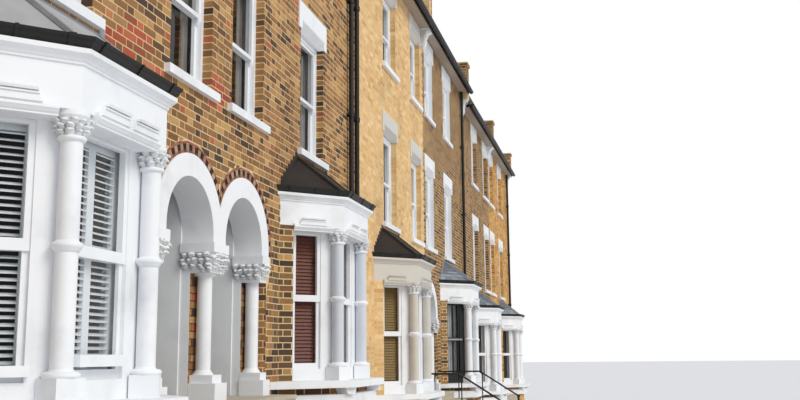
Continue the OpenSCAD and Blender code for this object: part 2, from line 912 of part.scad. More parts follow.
module bay_frames() {
    color(timber_white) each_bay() {
        difference() {
            bay_shell(-bay_sash_back, bay_frame_d, ledge_top, frieze_level);
            pier_places();
            corner_posts();
            bay_lights() {
                bay_opening(-front_light / 2, front_light / 2);
                bay_opening(-cant_light_x - cant_light, -cant_light_x);
            }
        }
        bay_lights() {
            bay_sashes(-front_light / 2, front_light / 2);
            bay_sashes(-cant_light_x - cant_light, -cant_light_x);
        }
    }
}

module bay_opening(x0, x1) {
    block([x0, -eps, light_foot], [x1, bay_frame_d + eps, light_head]);
}

// An upper sash in front of a lower one, filling an opening of the frame
module bay_sashes(x0, x1) {
    meeting = light_foot + (light_head - light_foot) * meeting_share;
    front = 12;
    lower_front = 32;
    bottom_rail = 70;
    difference() {
        block([x0, front, light_foot], [x1, bay_frame_d, light_head]);
        block([x0 - eps, front - eps, light_foot - eps],
            [x1 + eps, lower_front, meeting - bay_rail]);
        block([x0 + bay_stile, front - eps, meeting + bay_rail],
            [x1 - bay_stile, bay_frame_d + eps, light_head - bay_stile]);
        block([x0 + bay_stile, front - eps, light_foot + bottom_rail],
            [x1 - bay_stile, bay_frame_d + eps, meeting - bay_rail]);
    }
}

module bay_glass() {
    color(pane) each_bay() difference() {
        bay_shell(-bay_sash_back - bay_frame_d - seat, glass_t, ledge_top, frieze_level);
        pier_places();
    }
}

// A turned column of a given radius: square block, flared foot, middle ring and
// bell-shaped capital under a round slab
module turned_column(r, foot, block_top, middle, neck, top, slab) {
    ring = r + 14;
    half = r + 34;
    rotate_extrude() polygon([
        [0, foot], [half - 1, foot], [half - 1, block_top], [r + 24, block_top + 14],
        [r + 14, block_top + 30], [r, block_top + 55],
        [r, middle - 34], [r + 6, middle - 28], [ring, middle - 16], [ring, middle + 16],
        [r + 6, middle + 28], [r, middle + 34],
        [r, neck - 20], [ring, neck - 12], [ring, neck + 12], [r, neck + 20],
        [r + 6, neck + (top - neck) * 0.5], [r + 24, top - slab - 8],
        [r + 30, top - slab], [r + 35, top - slab + 8], [r + 35, top], [0, top]
    ]);
    // The square block is wider than the turned part
    block([-half, -half, foot], [half, half, block_top]);
}

module bay_columns() {
    color(stucco) each_bay() {
        difference() {
            for (side = [0, 1]) mirror([side, 0, 0])
                translate([bay_column_x, bay_column_in - bay_out, 0]) rotate([0, 0, 22.5])
                    turned_column(bay_column_d / 2, ledge_top, ledge_top + bay_block_h,
                        bay_ring_level, frieze_level - bay_abacus_h - bay_capital_h,
                        frieze_level, bay_abacus_h);
            // The square blocks end at the glass
            bay_prism(-bay_sash_back - bay_frame_d, 0, first_floor);
        }
        intersection() {
            bay_shell(-bay_sash_back, bay_frame_d, ledge_top, frieze_level);
            corner_posts();
        }
    }
}

// The part of the bay's frame that stands behind each column
module corner_posts() {
    for (side = [0, 1]) mirror([side, 0, 0])
        translate([bay_column_x, bay_column_in - bay_out, 0]) rotate([0, 0, 22.5])
            block([-bay_post_w / 2, -bay_out, 0], [bay_post_w / 2, bay_out, 2 * first_floor]);
}

// The frieze, with the lintels between columns and piers under it
module bay_friezes() {
    color(stucco) each_bay() {
        bay_shell(0, bay_wall_t, frieze_level, bay_eaves);
        intersection() {
            bay_shell(0, bay_sash_back, hood_level, frieze_level);
            union() {
                block([-hood_half, -2 * bay_out, 0], [hood_half, 0, first_floor]);
                for (side = [0, 1]) mirror([side, 0, 0]) translate([bay_half, 0, 0])
                    rotate([0, 0, 45])
                        block([-hood_cant_far, -eps, 0], [-bay_pier_w, bay_wall_t, first_floor]);
            }
        }
    }
}

module bay_cornices() {
    color(stucco) each_bay() translate([0, 0, cornice_level]) bay_moulding([
        [0, 0], [0, cornice_h], [cornice_out, cornice_h], [cornice_out, 62],
        [cornice_out - 10, 56], [46, 50], [30, 38], [22, 22], [12, 18], [12, 0]
    ]);
}

// An ogee gutter round the bay, standing on the cornice
module bay_gutters() {
    skin = gutter_skin;
    face = [[30, 0], [62, 6], [80, 22], [88, 44], [104, 56], [110, 75]];
    last = len(face) - 1;
    lip = face[last][1];
    color(iron_black) each_bay() translate([0, 0, bay_eaves]) bay_moulding(concat(
        [[0, 0], [0, lip], [skin, lip], [skin, skin]],
        [[face[0][0] - skin / 2, skin]],
        [for (i = [1:last]) [face[i][0] - skin, min(face[i][1] + skin / 2, lip)]],
        [for (i = [last:-1:0]) face[i]]
    ));
}

// The roof starts inside the gutter with a low upright edge, and ends on the wall in a
// short level strip under the sill
module bay_roofs() {
    edge_h = 60;
    strip = [25, 20];
    color(slate) each_bay() hull() {
        bay_prism(0, bay_eaves, bay_eaves + 1);
        bay_prism(-eps, bay_eaves, bay_eaves + edge_h);
        block([-bay_front, -strip[0], bay_roof_top - strip[1]], [bay_front, 0, bay_roof_top]);
    }
}

// Mouldings over the bay's windows, with raised blocks with splayed ends
module hood_moulds() {
    pier_gap = 90;
    color(stucco) each_bay() {
        translate([0, -bay_out, hood_level]) {
            hood_run(-hood_half, hood_half);
            for (side = [-1, 1])
                translate([side * (hood_block_w + hood_gap) / 2, 0, hood_run_h]) hood_block();
        }
        for (side = [0, 1]) mirror([side, 0, 0])
            translate([bay_half, 0, hood_level]) rotate([0, 0, 45]) {
                hood_run(-hood_cant_far, -bay_pier_w);
                translate([-bay_pier_w - pier_gap - hood_block_w / 2, 0, hood_run_h])
                    hood_block();
            }
    }
}

module hood_run(x0, x1) {
    along_x(x0, x1) polygon([
        [0, 0], [-14, 0], [-14, 14], [-24, 18], [-38, 36], [-44, 42], [-44, 58],
        [-30, 64], [-30, hood_run_h], [0, hood_run_h]
    ]);
}

// A raised block with splayed ends under a wider flat top
module hood_block() {
    splay = 26;
    body_out = 26;
    body_h = 52;
    top_out = 36;
    top_h = 18;
    half = hood_block_w / 2;
    along_y(-body_out, 0) polygon([
        [-half, 0], [half, 0], [half - splay, body_h], [splay - half, body_h]
    ]);
    along_y(-top_out, 0) translate([splay - half, body_h]) square([2 * (half - splay), top_h]);
}

module porch_arches() {
    color(stucco) each_pair() along_y(-arch_out, wall_t) difference() {
        above_imposts() porch_hole(arch_outer_r);
        both_openings(first_floor);
    }
}

module brick_rings() {
    color(red_brick) each_pair() along_y(0, ring_depth) difference() {
        above_imposts() porch_hole(ring_outer_r);
        porch_hole(arch_outer_r);
    }
}

// A porch column with its flared foot
module porch_column() {
    r = column_d / 2;
    rotate_extrude() polygon([
        [0, shaft_base - flare_h], [r + 35, shaft_base - flare_h],
        [r, shaft_base], [r, capital_base], [0, capital_base]
    ]);
}

// Three columns for each pair, on blocks that fill the rebates: wide ones, then narrow ones
module porch_columns() {
    front = 60;
    upper_front = 15;
    half = 150;
    outer_half = 130;
    upper_half = 115;
    top = block_h + upper_block_h;
    color(stucco) each_pair() intersection() {
        union() {
            for (x = [-column_far_x, 0, column_far_x])
                translate([x, column_y, 0]) porch_column();
            block([-half, -front, 0], [half, rebate_d, block_h]);
            block([-upper_half, -upper_front, block_h], [upper_half, rebate_d, top]);
            both_houses() {
                block([column_far_x - outer_half, -front, 0], [rebate_far, rebate_d, block_h]);
                block([column_far_x - upper_half, -upper_front, block_h],
                    [rebate_far, rebate_d, top]);
            }
        }
        // The flared feet end at the brick of their rebates
        block([-rebate_far, -front, 0], [rebate_far, rebate_d, capital_base]);
    }
}

// Slabs over carved blocks, one between the two openings and one on each side of them
module porch_capitals() {
    slab_out = 40;
    slab_foot = impost_top - abacus_h;
    color(stucco) each_pair() {
        block([-opening_near - capital_out, -slab_out, slab_foot],
            [opening_near + capital_out, wall_t, impost_top]);
        capital_bell(-opening_near, opening_near, 1, 1);
        both_houses() {
            block([opening_far - capital_out, -slab_out, slab_foot],
                [rebate_far, wall_t, impost_top]);
            capital_bell(opening_far, rebate_far, 1, 0);
        }
    }
}

// The carved block under an impost, coved out at its front and at the chosen ends
module capital_bell(x0, x1, left, right) {
    flare = capital_out - 10;
    top = impost_top - abacus_h;
    turns = [0:15:90];
    cove = [for (a = turns) [flare * (1 - cos(a)), capital_base + capital_h * sin(a)]];
    intersection() {
        along_y(-2 * wall_t, wall_t) polygon(concat(
            [for (p = cove) [x0 - left * p[0], p[1]]],
            [for (k = [len(cove) - 1:-1:0]) [x1 + right * cove[k][0], cove[k][1]]]
        ));
        along_x(-house_w, house_w) polygon(concat(
            [for (p = cove) [-p[0], p[1]]], [[wall_t, top], [wall_t, capital_base]]
        ));
    }
}

module lobby_walls() {
    color(brick) each_house()
        block([opening_far, wall_t, 0], [opening_far + lobby_wall_t, wall_t + lobby_d, lobby_h]);
}

module lobby_render() {
    back = wall_t + lobby_d;
    color(lobby_grey) each_house() {
        block([opening_near, wall_t, 0], [opening_near + render_t, back, lobby_h]);
        block([opening_far - render_t, wall_t, 0], [opening_far, back, lobby_h]);
    }
}

// A fixed door in its frame at the back of the lobby, with a panel in place of the fanlight
module front_doors() {
    back = wall_t + lobby_d;
    x0 = opening_near + render_t;
    x1 = opening_far - render_t;
    frame_d = 100;
    leaf_t = 60;
    rail_h = 70;
    head_h = 60;
    panel_w = door_w * 2 / 7;
    panel_sunk = 15;
    panels = [[230, 800], [1000, door_h - 130]];
    color(door_blue) each_house() difference() {
        block([x0, back - frame_d, 0], [x1, back, lobby_h]);
        translate([(x0 + x1) / 2, back - leaf_t, 0]) {
            // The leaf and the panel over it are set back in the frame
            for (z = [[-eps, door_h], [door_h + rail_h, lobby_h - head_h]])
                block([-door_w / 2, leaf_t - frame_d - eps, z[0]], [door_w / 2, 0, z[1]]);
            // Four sunk panels in the leaf
            for (side = [-1, 1]) for (z = panels)
                translate([side * door_w / 4, 0, 0])
                    block([-panel_w / 2, -eps, z[0]], [panel_w / 2, panel_sunk, z[1]]);
        }
    }
}

module step_treads() {
    color(stone_buff) each_pair() {
        block([-flight_half, -landing_d - nosing, -tread_t], [flight_half, 0, 0]);
        both_houses() block([opening_near, -eps, -tread_t], [opening_far, wall_t, 0]);
        for (k = [1:riser_count - 1])
            block([-flight_half, -landing_d - k * tread_d - nosing, -k * riser_h - tread_t],
                [flight_half, -landing_d - (k - 1) * tread_d, -k * riser_h]);
    }
}

// Iron handrails on both sides of the middle pair's steps: level at the porch, then down
// along the flight to a post on the lowest tread
module step_rails() {
    side_gap = 60;
    x = flight_half - side_gap;
    // The rail runs level past two treads and a part of the third
    turn_y = -landing_d - 2.3 * tread_d;
    end_y = -landing_d - (riser_count - 2) * tread_d - tread_d / 2;
    slope = riser_h / tread_d;
    end_z = rail_level + (end_y - turn_y) * slope;
    middle = floor(pair_count / 2);
    color(iron_black) at_pair(middle) both_houses() {
        translate([x, 0, rail_level]) rotate([90, 0, 0]) cylinder(h = -turn_y, d = rail_d);
        translate([x, turn_y, rail_level]) sphere(d = rail_d);
        translate([x, turn_y, rail_level]) rotate([90 + atan(slope), 0, 0])
            cylinder(h = norm([end_y - turn_y, end_z - rail_level]), d = rail_d);
        translate([x, end_y, -(riser_count - 1) * riser_h])
            cylinder(h = end_z + (riser_count - 1) * riser_h, d = rail_d + 10);
        translate([x, end_y, end_z]) sphere(d = rail_d + 34);
        // Balusters, one on every other tread
        for (k = [1, 3]) {
            y = -landing_d - (k - 0.5) * tread_d;
            translate([x, y, -k * riser_h])
                cylinder(h = k * riser_h + rail_level + min(0, (y - turn_y) * slope),
                    d = rail_d - 10);
        }
    }
}

module step_bases() {
    color(brick) for (p = [0:pair_count - 1]) at_pair(p) for (k = [0:riser_count - 1])
        block([-flight_half, -landing_d - k * tread_d, -pair_z(p)],
            [flight_half, 0, -k * riser_h - tread_t]);
}

front_wall_left();
front_wall_middle();
front_wall_right();
upper_wall_left();
upper_wall_middle();
upper_wall_right();
rear_walls();
party_walls();
floors();
roof_front();
roof_rear();
ridge_tiles();
parapet_ends();
chimney_stacks();
chimney_pots();
soffit_boards();
fascia_boards();
eaves_gutters();
downpipes();
eaves_corbels();
window_boxes();
window_glass();
window_sills();
window_lintels();
bay_bases();
bay_ledges();
bay_piers();
bay_frames();
bay_glass();
bay_columns();
bay_friezes();
bay_cornices();
bay_gutters();
bay_roofs();
hood_moulds();
porch_arches();
brick_rings();
porch_columns();
porch_capitals();
lobby_walls();
lobby_render();
front_doors();
step_treads();
step_bases();
step_rails();
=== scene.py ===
# %% [markdown]
# # A row of six brick town houses
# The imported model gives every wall, roof, window and column its place and size. This script
# gives them what a model made for cutting and fitting leaves out: single bricks, slates,
# carved leaves, blinds behind the glass, and finishes. The frame is loaded first and never
# moved.
# %% Load the fixed frame
import math
import bpy
import numpy as np
from mathutils import Matrix, Vector


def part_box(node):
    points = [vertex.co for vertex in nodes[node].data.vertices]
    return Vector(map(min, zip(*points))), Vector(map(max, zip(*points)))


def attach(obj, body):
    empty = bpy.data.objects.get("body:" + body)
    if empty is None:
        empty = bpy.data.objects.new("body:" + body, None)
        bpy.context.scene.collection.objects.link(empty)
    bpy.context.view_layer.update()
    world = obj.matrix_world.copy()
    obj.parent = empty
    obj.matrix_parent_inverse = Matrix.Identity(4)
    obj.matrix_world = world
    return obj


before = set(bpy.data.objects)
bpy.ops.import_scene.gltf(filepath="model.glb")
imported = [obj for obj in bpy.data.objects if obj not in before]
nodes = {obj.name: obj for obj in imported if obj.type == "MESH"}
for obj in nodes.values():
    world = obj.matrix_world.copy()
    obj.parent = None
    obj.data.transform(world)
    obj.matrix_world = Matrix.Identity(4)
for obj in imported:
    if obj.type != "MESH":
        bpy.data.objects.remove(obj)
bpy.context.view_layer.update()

# %% [markdown]
# ## Where the houses stand
# The street side faces -Y. Three mirrored pairs stand side by side, and each pair stands a
# step lower than the one on its left. Every level below is measured up from a pair's porch
# floor, and every length across from the line that the pair's two houses share, so one set
# of numbers serves all six houses.
# %% Datum lines taken from the frame
wall_lo, wall_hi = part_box("front_wall_middle")
FACE_Y = wall_lo.y
HOUSE_W = (wall_hi.x - wall_lo.x) / 2
PAIR_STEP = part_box("front_wall_left")[1].z - wall_hi.z
PORCH_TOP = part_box("step_treads")[1].z
PAIRS = [((2 * p - 2) * HOUSE_W, PORCH_TOP - p * PAIR_STEP) for p in range(3)]
HOUSES = [(x, z, side) for x, z in PAIRS for side in (-1, 1)]
print("pairs at", PAIRS, "face at", FACE_Y)

# %% Sizes repeated from the part's source, in metres
HOUSE_D, WALL_T, PARTY_T, END_T = 8.4, 0.33, 0.31, 0.225
SOFFIT = 7.79
PORCH_WINDOW = (0.73, 0.935)
BAY_WINDOW = (3.05, 1.0)
STOREYS = [(3.085, 1.64), (6.0, 1.38)]
SASH_BACK, SASH_DEEP = 0.10, 0.11
SILL_H, SILL_EAR = 0.085, 0.105
LINTEL_OUT = 0.018
LINTEL_H, LINTEL_EAR = 0.37, 0.10
ARCH_X, ARCH_IN, ARCH_OUT, RING_OUT, ARCH_Z = 0.674, 0.519, 0.738, 0.853, 1.62
NEAR, FAR = ARCH_X - ARCH_IN, ARCH_X + ARCH_IN
IMPOST, CAPITAL_LOW = 1.56, 1.26
REBATE_D, REBATE_X, FLIGHT_X = 0.227, 1.38, 1.48
BAY_X, BAY_FRONT, BAY_OUT, BAY_HALF = 3.05, 0.60, 0.62, 1.22
LEDGE, LEDGE_TOP, BAND_TOP, BAND_LOW = 0.05, 0.135, -0.03, -0.18
FRIEZE, BAY_EAVES, BAY_ROOF, BAY_ROOF_FOOT = 2.005, 2.40, 2.94, 0.062
PIER_W, BAY_BACK = 0.18, 0.16
EAVES_OUT, ROOF_T, PITCH = 0.22, 0.15, math.radians(33)
TAN = math.tan(PITCH)
EAVES_TOP, RIDGE_Y = SOFFIT + 0.15, HOUSE_D / 2
RIDGE = EAVES_TOP + (RIDGE_Y + EAVES_OUT) * TAN
SLATE_TOP = ROOF_T / math.cos(PITCH)
PARAPET_H = 0.11
PARAPET_FOOT = EAVES_TOP + EAVES_OUT * TAN + SLATE_TOP + PARAPET_H
STACK_X, STACK_Y, STACK_H = 0.28, 0.75, 1.05

# %% [markdown]
# ## Light, floor and camera
# The photograph was taken from the pavement, close to the first bay and looking along the
# street, a little upwards. The camera has the same place, turn and focal length. An evenly
# lit sky with a wide soft sun from over the street lights a painted wall about as bright as
# its colour is written.
# %% Camera
# Turned from +X towards +Y, tilted up, rolled about its line of sight; focal length in pixels
YAW, TILT, ROLL, FOCAL = 0.22147, 0.161525, -0.0091058, 960.058
SENSOR_MM, PHOTO_W = 36.0, 800.0
eye = Vector((PAIRS[0][0] - 9.0774, FACE_Y - 3.9458, PORCH_TOP + 0.415))
camera = bpy.data.objects.new("camera", bpy.data.cameras.new("camera"))
bpy.context.scene.collection.objects.link(camera)
camera.matrix_world = (Matrix.Translation(eye) @ Matrix.Rotation(YAW - math.pi / 2, 4, "Z")
                       @ Matrix.Rotation(TILT + math.pi / 2, 4, "X")
                       @ Matrix.Rotation(ROLL, 4, "Z"))
camera.data.sensor_width = SENSOR_MM
camera.data.lens = FOCAL * SENSOR_MM / PHOTO_W
camera.data.clip_end = 500.0
bpy.context.scene.camera = camera
bpy.context.scene.view_settings.view_transform = "Standard"
print("camera at", tuple(eye), "lens", round(camera.data.lens, 2))


# %% Helpers for colours and shader nodes
def linear(code, alpha=True):
    """A colour written as sRGB hex, such as C8A060, in linear light."""
    parts = np.array([int(code[i:i + 2], 16) for i in (0, 2, 4)]) / 255
    parts = np.where(parts <= 0.04045, parts / 12.92, ((parts + 0.055) / 1.055) ** 2.4)
    return (*parts, 1.0) if alpha else parts


def add(tree, kind, inputs=None, **settings):
    """Adds one shader node with its settings. An input is a value or the socket it is fed
    from."""
    made = tree.nodes.new("ShaderNode" + kind)
    for name, value in settings.items():
        setattr(made, name, value)
    for key, value in (inputs or {}).items():
        if isinstance(value, bpy.types.NodeSocket):
            tree.links.new(value, made.inputs[key])
        else:
            made.inputs[key].default_value = value
    return made


def blend(tree, share, first, second):
    """A colour that goes from one to another as share goes from 0 to 1. Each is a socket or
    sRGB hex."""
    mix = add(tree, "Mix", data_type="RGBA")
    for key, value in ((0, share), (6, first), (7, second)):
        if isinstance(value, bpy.types.NodeSocket):
            tree.links.new(value, mix.inputs[key])
        else:
            mix.inputs[key].default_value = linear(value) if isinstance(value, str) else value
    return mix.outputs[2]


def maths(tree, first, operation, second):
    """One operation on two values, each a number or a socket."""
    return add(tree, "Math", {0: first, 1: second}, operation=operation).outputs[0]


def noise(tree, place, scale, detail, **more):
    """A noise pattern with about scale features a metre."""
    inputs = {"Vector": place, "Scale": scale, "Detail": detail, **more}
    return add(tree, "TexNoise", inputs).outputs[0]


def remap(tree, value, low, high, first, last):
    """Goes from first to last as value goes from low to high, and stays level beyond."""
    return add(tree, "MapRange", {0: value, 1: low, 2: high, 3: first, 4: last}).outputs[0]


def start_material(name, **values):
    """An empty material with its principled shader: its tree, that shader and the Object
    coordinates. The values are set on the shader's own sockets."""
    material = bpy.data.materials.new(name)
    material.use_nodes = True
    tree = material.node_tree
    tree.nodes.clear()
    shader = add(tree, "BsdfPrincipled")
    for key, value in values.items():
        shader.inputs[key.replace("_", " ")].default_value = value
    output = add(tree, "OutputMaterial")
    tree.links.new(shader.outputs[0], output.inputs[0])
    place = add(tree, "TexCoord").outputs["Object"]
    return material, tree, shader, place


def surface(tree, shader, colour, height=None, distance=0.0, strength=1.0):
    """Feeds the shader its colour and a height pattern, as a bump of that many metres."""
    tree.links.new(colour, shader.inputs["Base Color"])
    if height is not None:
        bump = add(tree, "Bump", {"Height": height, "Distance": distance, "Strength": strength})
        tree.links.new(bump.outputs[0], shader.inputs["Normal"])


def two_tone(name, dark, light, scale, detail, depth=None, stretch=None, **values):
    """A material that wanders between two colours with one noise, which is also a bump of
    depth metres. stretch packs the noise along each axis, so that grain runs along the axis
    with the least."""
    material, tree, shader, place = start_material(name, **values)
    if stretch:
        place = add(tree, "Mapping", {"Vector": place, "Scale": stretch}).outputs[0]
    pattern = noise(tree, place, scale, detail)
    surface(tree, shader, blend(tree, pattern, dark, light), pattern if depth else None,
            depth or 0.0)
    return material


# %% World, sun and floor
# The sky lights the model less brightly than it shows, and the sun adds soft shadows.
SKY, SUN, FLOOR = 0.68, 1.65, 300
world = bpy.data.worlds.new("even sky")
bpy.context.scene.world = world
world.use_nodes = True
sky = world.node_tree
sky.nodes.clear()
path = add(sky, "LightPath").outputs
seen = maths(sky, path["Is Camera Ray"], "MAXIMUM", path["Is Transmission Ray"])
lit = add(sky, "Background", {"Color": linear("EEF3FA"), "Strength": SKY})
white = add(sky, "Background", {"Color": (1, 1, 1, 1), "Strength": 1.0})
both = add(sky, "MixShader", {0: seen, 1: lit.outputs[0], 2: white.outputs[0]})
sky.links.new(both.outputs[0], add(sky, "OutputWorld").inputs[0])

sun = bpy.data.objects.new("soft sun", bpy.data.lights.new("soft sun", "SUN"))
sun.data.energy = SUN
sun.data.angle = math.radians(28)
sun.data.color = linear("FFF8EC", alpha=False)
bpy.context.scene.collection.objects.link(sun)
sun.rotation_euler = (math.radians(52), 0, math.radians(-24))

floor_mesh = bpy.data.meshes.new("floor")
floor_mesh.from_pydata([(-FLOOR, -FLOOR, 0), (FLOOR, -FLOOR, 0), (FLOOR, FLOOR, 0),
                        (-FLOOR, FLOOR, 0)], [], [(0, 1, 2, 3)])
floor = bpy.data.objects.new("floor", floor_mesh)
bpy.context.scene.collection.objects.link(floor)
pale = start_material("pale_studio_floor", Roughness=0.9, Base_Color=linear("E9EAEC"))[0]
floor.data.materials.append(pale)

# %% [markdown]
# ## Finishes
# Each finish starts from the real one: lime mortar, kiln-fired stock brick, oil paint on
# stucco and on wood, Welsh slate, cast iron, plate glass. A brick's own colour comes from
# an attribute that the bricks are made with, and the shader only adds grain and soot; on
# the arch rings that attribute also holds painted shadow. Inside the rooms the mortar and
# the floors are coloured dark as painted shade.
# %% Masks
def band_mask(tree, place, low, high, axis, soft=0.01):
    """1 where an Object coordinate lies between two values, 0 elsewhere."""
    value = add(tree, "SeparateXYZ", {0: place}).outputs[axis]
    above = remap(tree, value, low - soft, low + soft, 0.0, 1.0)
    below = remap(tree, value, high - soft, high + soft, 1.0, 0.0)
    return maths(tree, above, "MULTIPLY", below)


def box_mask(tree, place, spans):
    """1 inside a box given by a span of x, of y and of z, and 0 outside it."""
    inside = 1.0
    for axis, span in enumerate(spans):
        inside = maths(tree, inside, "MULTIPLY", band_mask(tree, place, *span, axis))
    return inside


# %% Masonry
# Lime mortar: sandy and matt, with grit of 4 mm and less, darkened by soot in broad soft
# patches. Inside, from end wall to end wall and up to the eaves, the same walls are
# plastered, and coloured dark grey there as painted shade of the unlit rooms.
mortar, tree, shader, place = start_material("lime_mortar", Roughness=0.95)
grit = noise(tree, place, 260.0, 3.0)
soot = remap(tree, noise(tree, place, 0.9, 5.0), 0.5, 0.8, 0.0, 0.35)
dirty = blend(tree, soot, blend(tree, grit, "CDB083", "F0D9AE"), "8A7350")
rooms = ((-15.9, 15.9), (FACE_Y + 0.17, FACE_Y + HOUSE_D - 0.17), (-5.0, PAIRS[2][1] + SOFFIT))
# Inside the house box the walls take dark grey 4E4944: painted shade of the unlit rooms.
mortar_and_painted_room_shade = blend(tree, box_mask(tree, place, rooms), dirty, "4E4944")
surface(tree, shader, mortar_and_painted_room_shade, grit, 0.002)


def brick_finish(name, dimmed, soot_share):
    """Fired clay: the brick's own tint, mottled at 24 mm and less down to a share of its
    brightness, pitted at about 5 mm, and dimmed by soot in patches nearly a metre wide."""
    material, tree, shader, place = start_material(name, Roughness=0.88)
    tint = add(tree, "Attribute", attribute_name="tint").outputs["Color"]
    bright = remap(tree, noise(tree, place, 42.0, 6.0, Roughness=0.7), 0.3, 0.7, 1.12, dimmed)
    clay = add(tree, "VectorMath", {0: tint, 1: bright}, operation="MULTIPLY").outputs[0]
    soot = remap(tree, noise(tree, place, 1.3, 6.0), 0.5, 0.8, 0.0, soot_share)
    surface(tree, shader, blend(tree, soot, clay, "4A3826"), noise(tree, place, 190.0, 2.0),
            0.0025)
    return material


stock_brick = brick_finish("yellow_stock_brick", 0.72, 0.35)
red_brick = brick_finish("red_rubbed_brick", 0.7, 0.1)
# Pots and ridge tiles of one colour of clay, and steps of layered sandstone, worn and buff.
terracotta = two_tone("terracotta", "8A4A30", "A8684A", 14.0, 8.0, 0.004, Roughness=0.85)
york_stone = two_tone("york_stone", "A79C8A", "CFC7B6", 5.0, 9.0, 0.004, Roughness=0.8)


# %% Paints
def paint_finish(name, colour, shade, roughness, brush_mm, areas=()):
    """Oil paint: nearly one colour, a little darker in broad soft patches where dirt has
    settled, with soft brush marks in the gloss, the finest about brush_mm wide. areas lists
    boxes, as in box_mask, that have been painted another colour."""
    material, tree, shader, place = start_material(name, Roughness=roughness, IOR=1.48)
    dirt = remap(tree, noise(tree, place, 2.2, 7.0, Roughness=0.6), 0.5, 0.85, 0.0, 0.8)
    coat = blend(tree, dirt, colour, shade)
    for spans, other in areas:
        coat = blend(tree, box_mask(tree, place, spans), coat, other)
    brush = noise(tree, place, 1000.0 / brush_mm / 6, 2.0)
    surface(tree, shader, coat, brush, 0.0008, 0.6)
    return material


# The middle pair's left house, with the third bay, has a stone grey frieze and grey lintels.
# Its right house, with the fourth bay, has black sashes and posts there, with a pale meeting
# rail.
MIDDLE_Z = PAIRS[1][1]
THIRD_BAY = (-BAY_X - 1.6, -BAY_X + 1.6)
FOURTH_BAY = (BAY_X - BAY_HALF, BAY_X + BAY_HALF)
MEETING = MIDDLE_Z + 1.134
FRONT_Y = (FACE_Y - 1.0, FACE_Y + 0.25)
POSTS_Y = (FACE_Y - BAY_OUT + 0.18, FACE_Y + 0.2)
stucco_areas = [((THIRD_BAY, FRONT_Y, (MIDDLE_Z + 1.94, MIDDLE_Z + BAY_EAVES + 0.01)), "D0CCC4"),
                ((FOURTH_BAY, POSTS_Y, (MIDDLE_Z + 0.3, MIDDLE_Z + 1.94)), "17181C")]
for foot, h in STOREYS:
    head = MIDDLE_Z + foot + h
    stucco_areas.append((((-HOUSE_W, 0.0), FRONT_Y, (head - 0.02, head + LINTEL_H)), "D2CFCA"))
timber_areas = [((FOURTH_BAY, FRONT_Y, (MIDDLE_Z + 0.14, MIDDLE_Z + 1.97)), "15161A"),
                ((FOURTH_BAY, FRONT_Y, (MEETING - 0.02, MEETING + 0.012)), "A8AAAE")]
stucco = paint_finish("painted_stucco", "F0F3F7", "CBCFD3", 0.55, 6, stucco_areas)
timber = paint_finish("white_gloss_on_timber", "F1F4F8", "D6DADE", 0.35, 4, timber_areas)
carving = paint_finish("painted_carving", "EDF0F3", "BFC2C4", 0.55, 6)
render = paint_finish("grey_masonry_paint", "F4F7FA", "DEE2E6", 0.75, 8)
blue_grey = paint_finish("blue_grey_column_paint", "D0D6DF", "BCC2CB", 0.5, 6)
stone_grey = paint_finish("stone_grey_column_paint", "CFCAC1", "BAB5AC", 0.5, 6)
black_iron = paint_finish("black_gloss_on_iron", "0C0A09", "1E1B18", 0.5, 5)
blue_door = paint_finish("blue_gloss_on_timber", "22303F", "1A242F", 0.3, 4)

# %% Roofs and boards
# Welsh slate: split, so nearly flat, blue grey with each slate its own shade.
slate, tree, shader, place = start_material("welsh_slate", Roughness=0.55, IOR=1.55)
tint = add(tree, "Attribute", attribute_name="tint").outputs["Color"]
cleft = noise(tree, place, 16.0, 8.0)
faced = blend(tree, remap(tree, cleft, 0.4, 0.8, 0.0, 0.5), tint, "4B5058")
surface(tree, shader, faced, cleft, 0.003)

# What lies under the slates, seen only as a dark line between them, and rolled lead with a
# pale bloom, on hips and flashings.
slate_bed = two_tone("slate_bed", "2C2E31", "4A4D52", 8.0, 6.0, Roughness=0.9)
lead = two_tone("rolled_lead", "7C828A", "B4B9BE", 7.0, 7.0, 0.004, Roughness=0.6, Metallic=0.35)

# Bay roofs: bitumen felt, pale on the first bay and near black on the next two, and grey
# under the slates of the last three.
felt, tree, shader, place = start_material("mineral_felt", Roughness=0.9)
stains = noise(tree, place, 5.0, 7.0)
roofed = blend(tree, band_mask(tree, place, -17.0, PAIRS[0][0], 0),
               blend(tree, stains, "1E1916", "3A322D"), blend(tree, stains, "9A9CA0", "B9BBBE"))
roofed = blend(tree, band_mask(tree, place, 0.0, 17.0, 0), roofed, "6A6E75")
surface(tree, shader, roofed, noise(tree, place, 240.0, 3.0), 0.002)

# Once painted boards under the eaves, gone grey brown, and waxed pine floors inside, coloured
# darker than pine as painted shade of the unlit rooms. Both have their grain along the street.
boards = two_tone("weathered_softwood", "8F7F6E", "C3B7A8", 1.0, 8.0, 0.002, (1.2, 60.0, 60.0),
                  Roughness=0.8)
# The floors' dark brown is painted shade of the unlit rooms, on top of the pine's own colour.
pine = two_tone("dark_pine_in_painted_shade", "3E2A1C", "5E4028", 1.0, 6.0, 0.001, (1.0, 30.0, 30.0),
                Roughness=0.45)

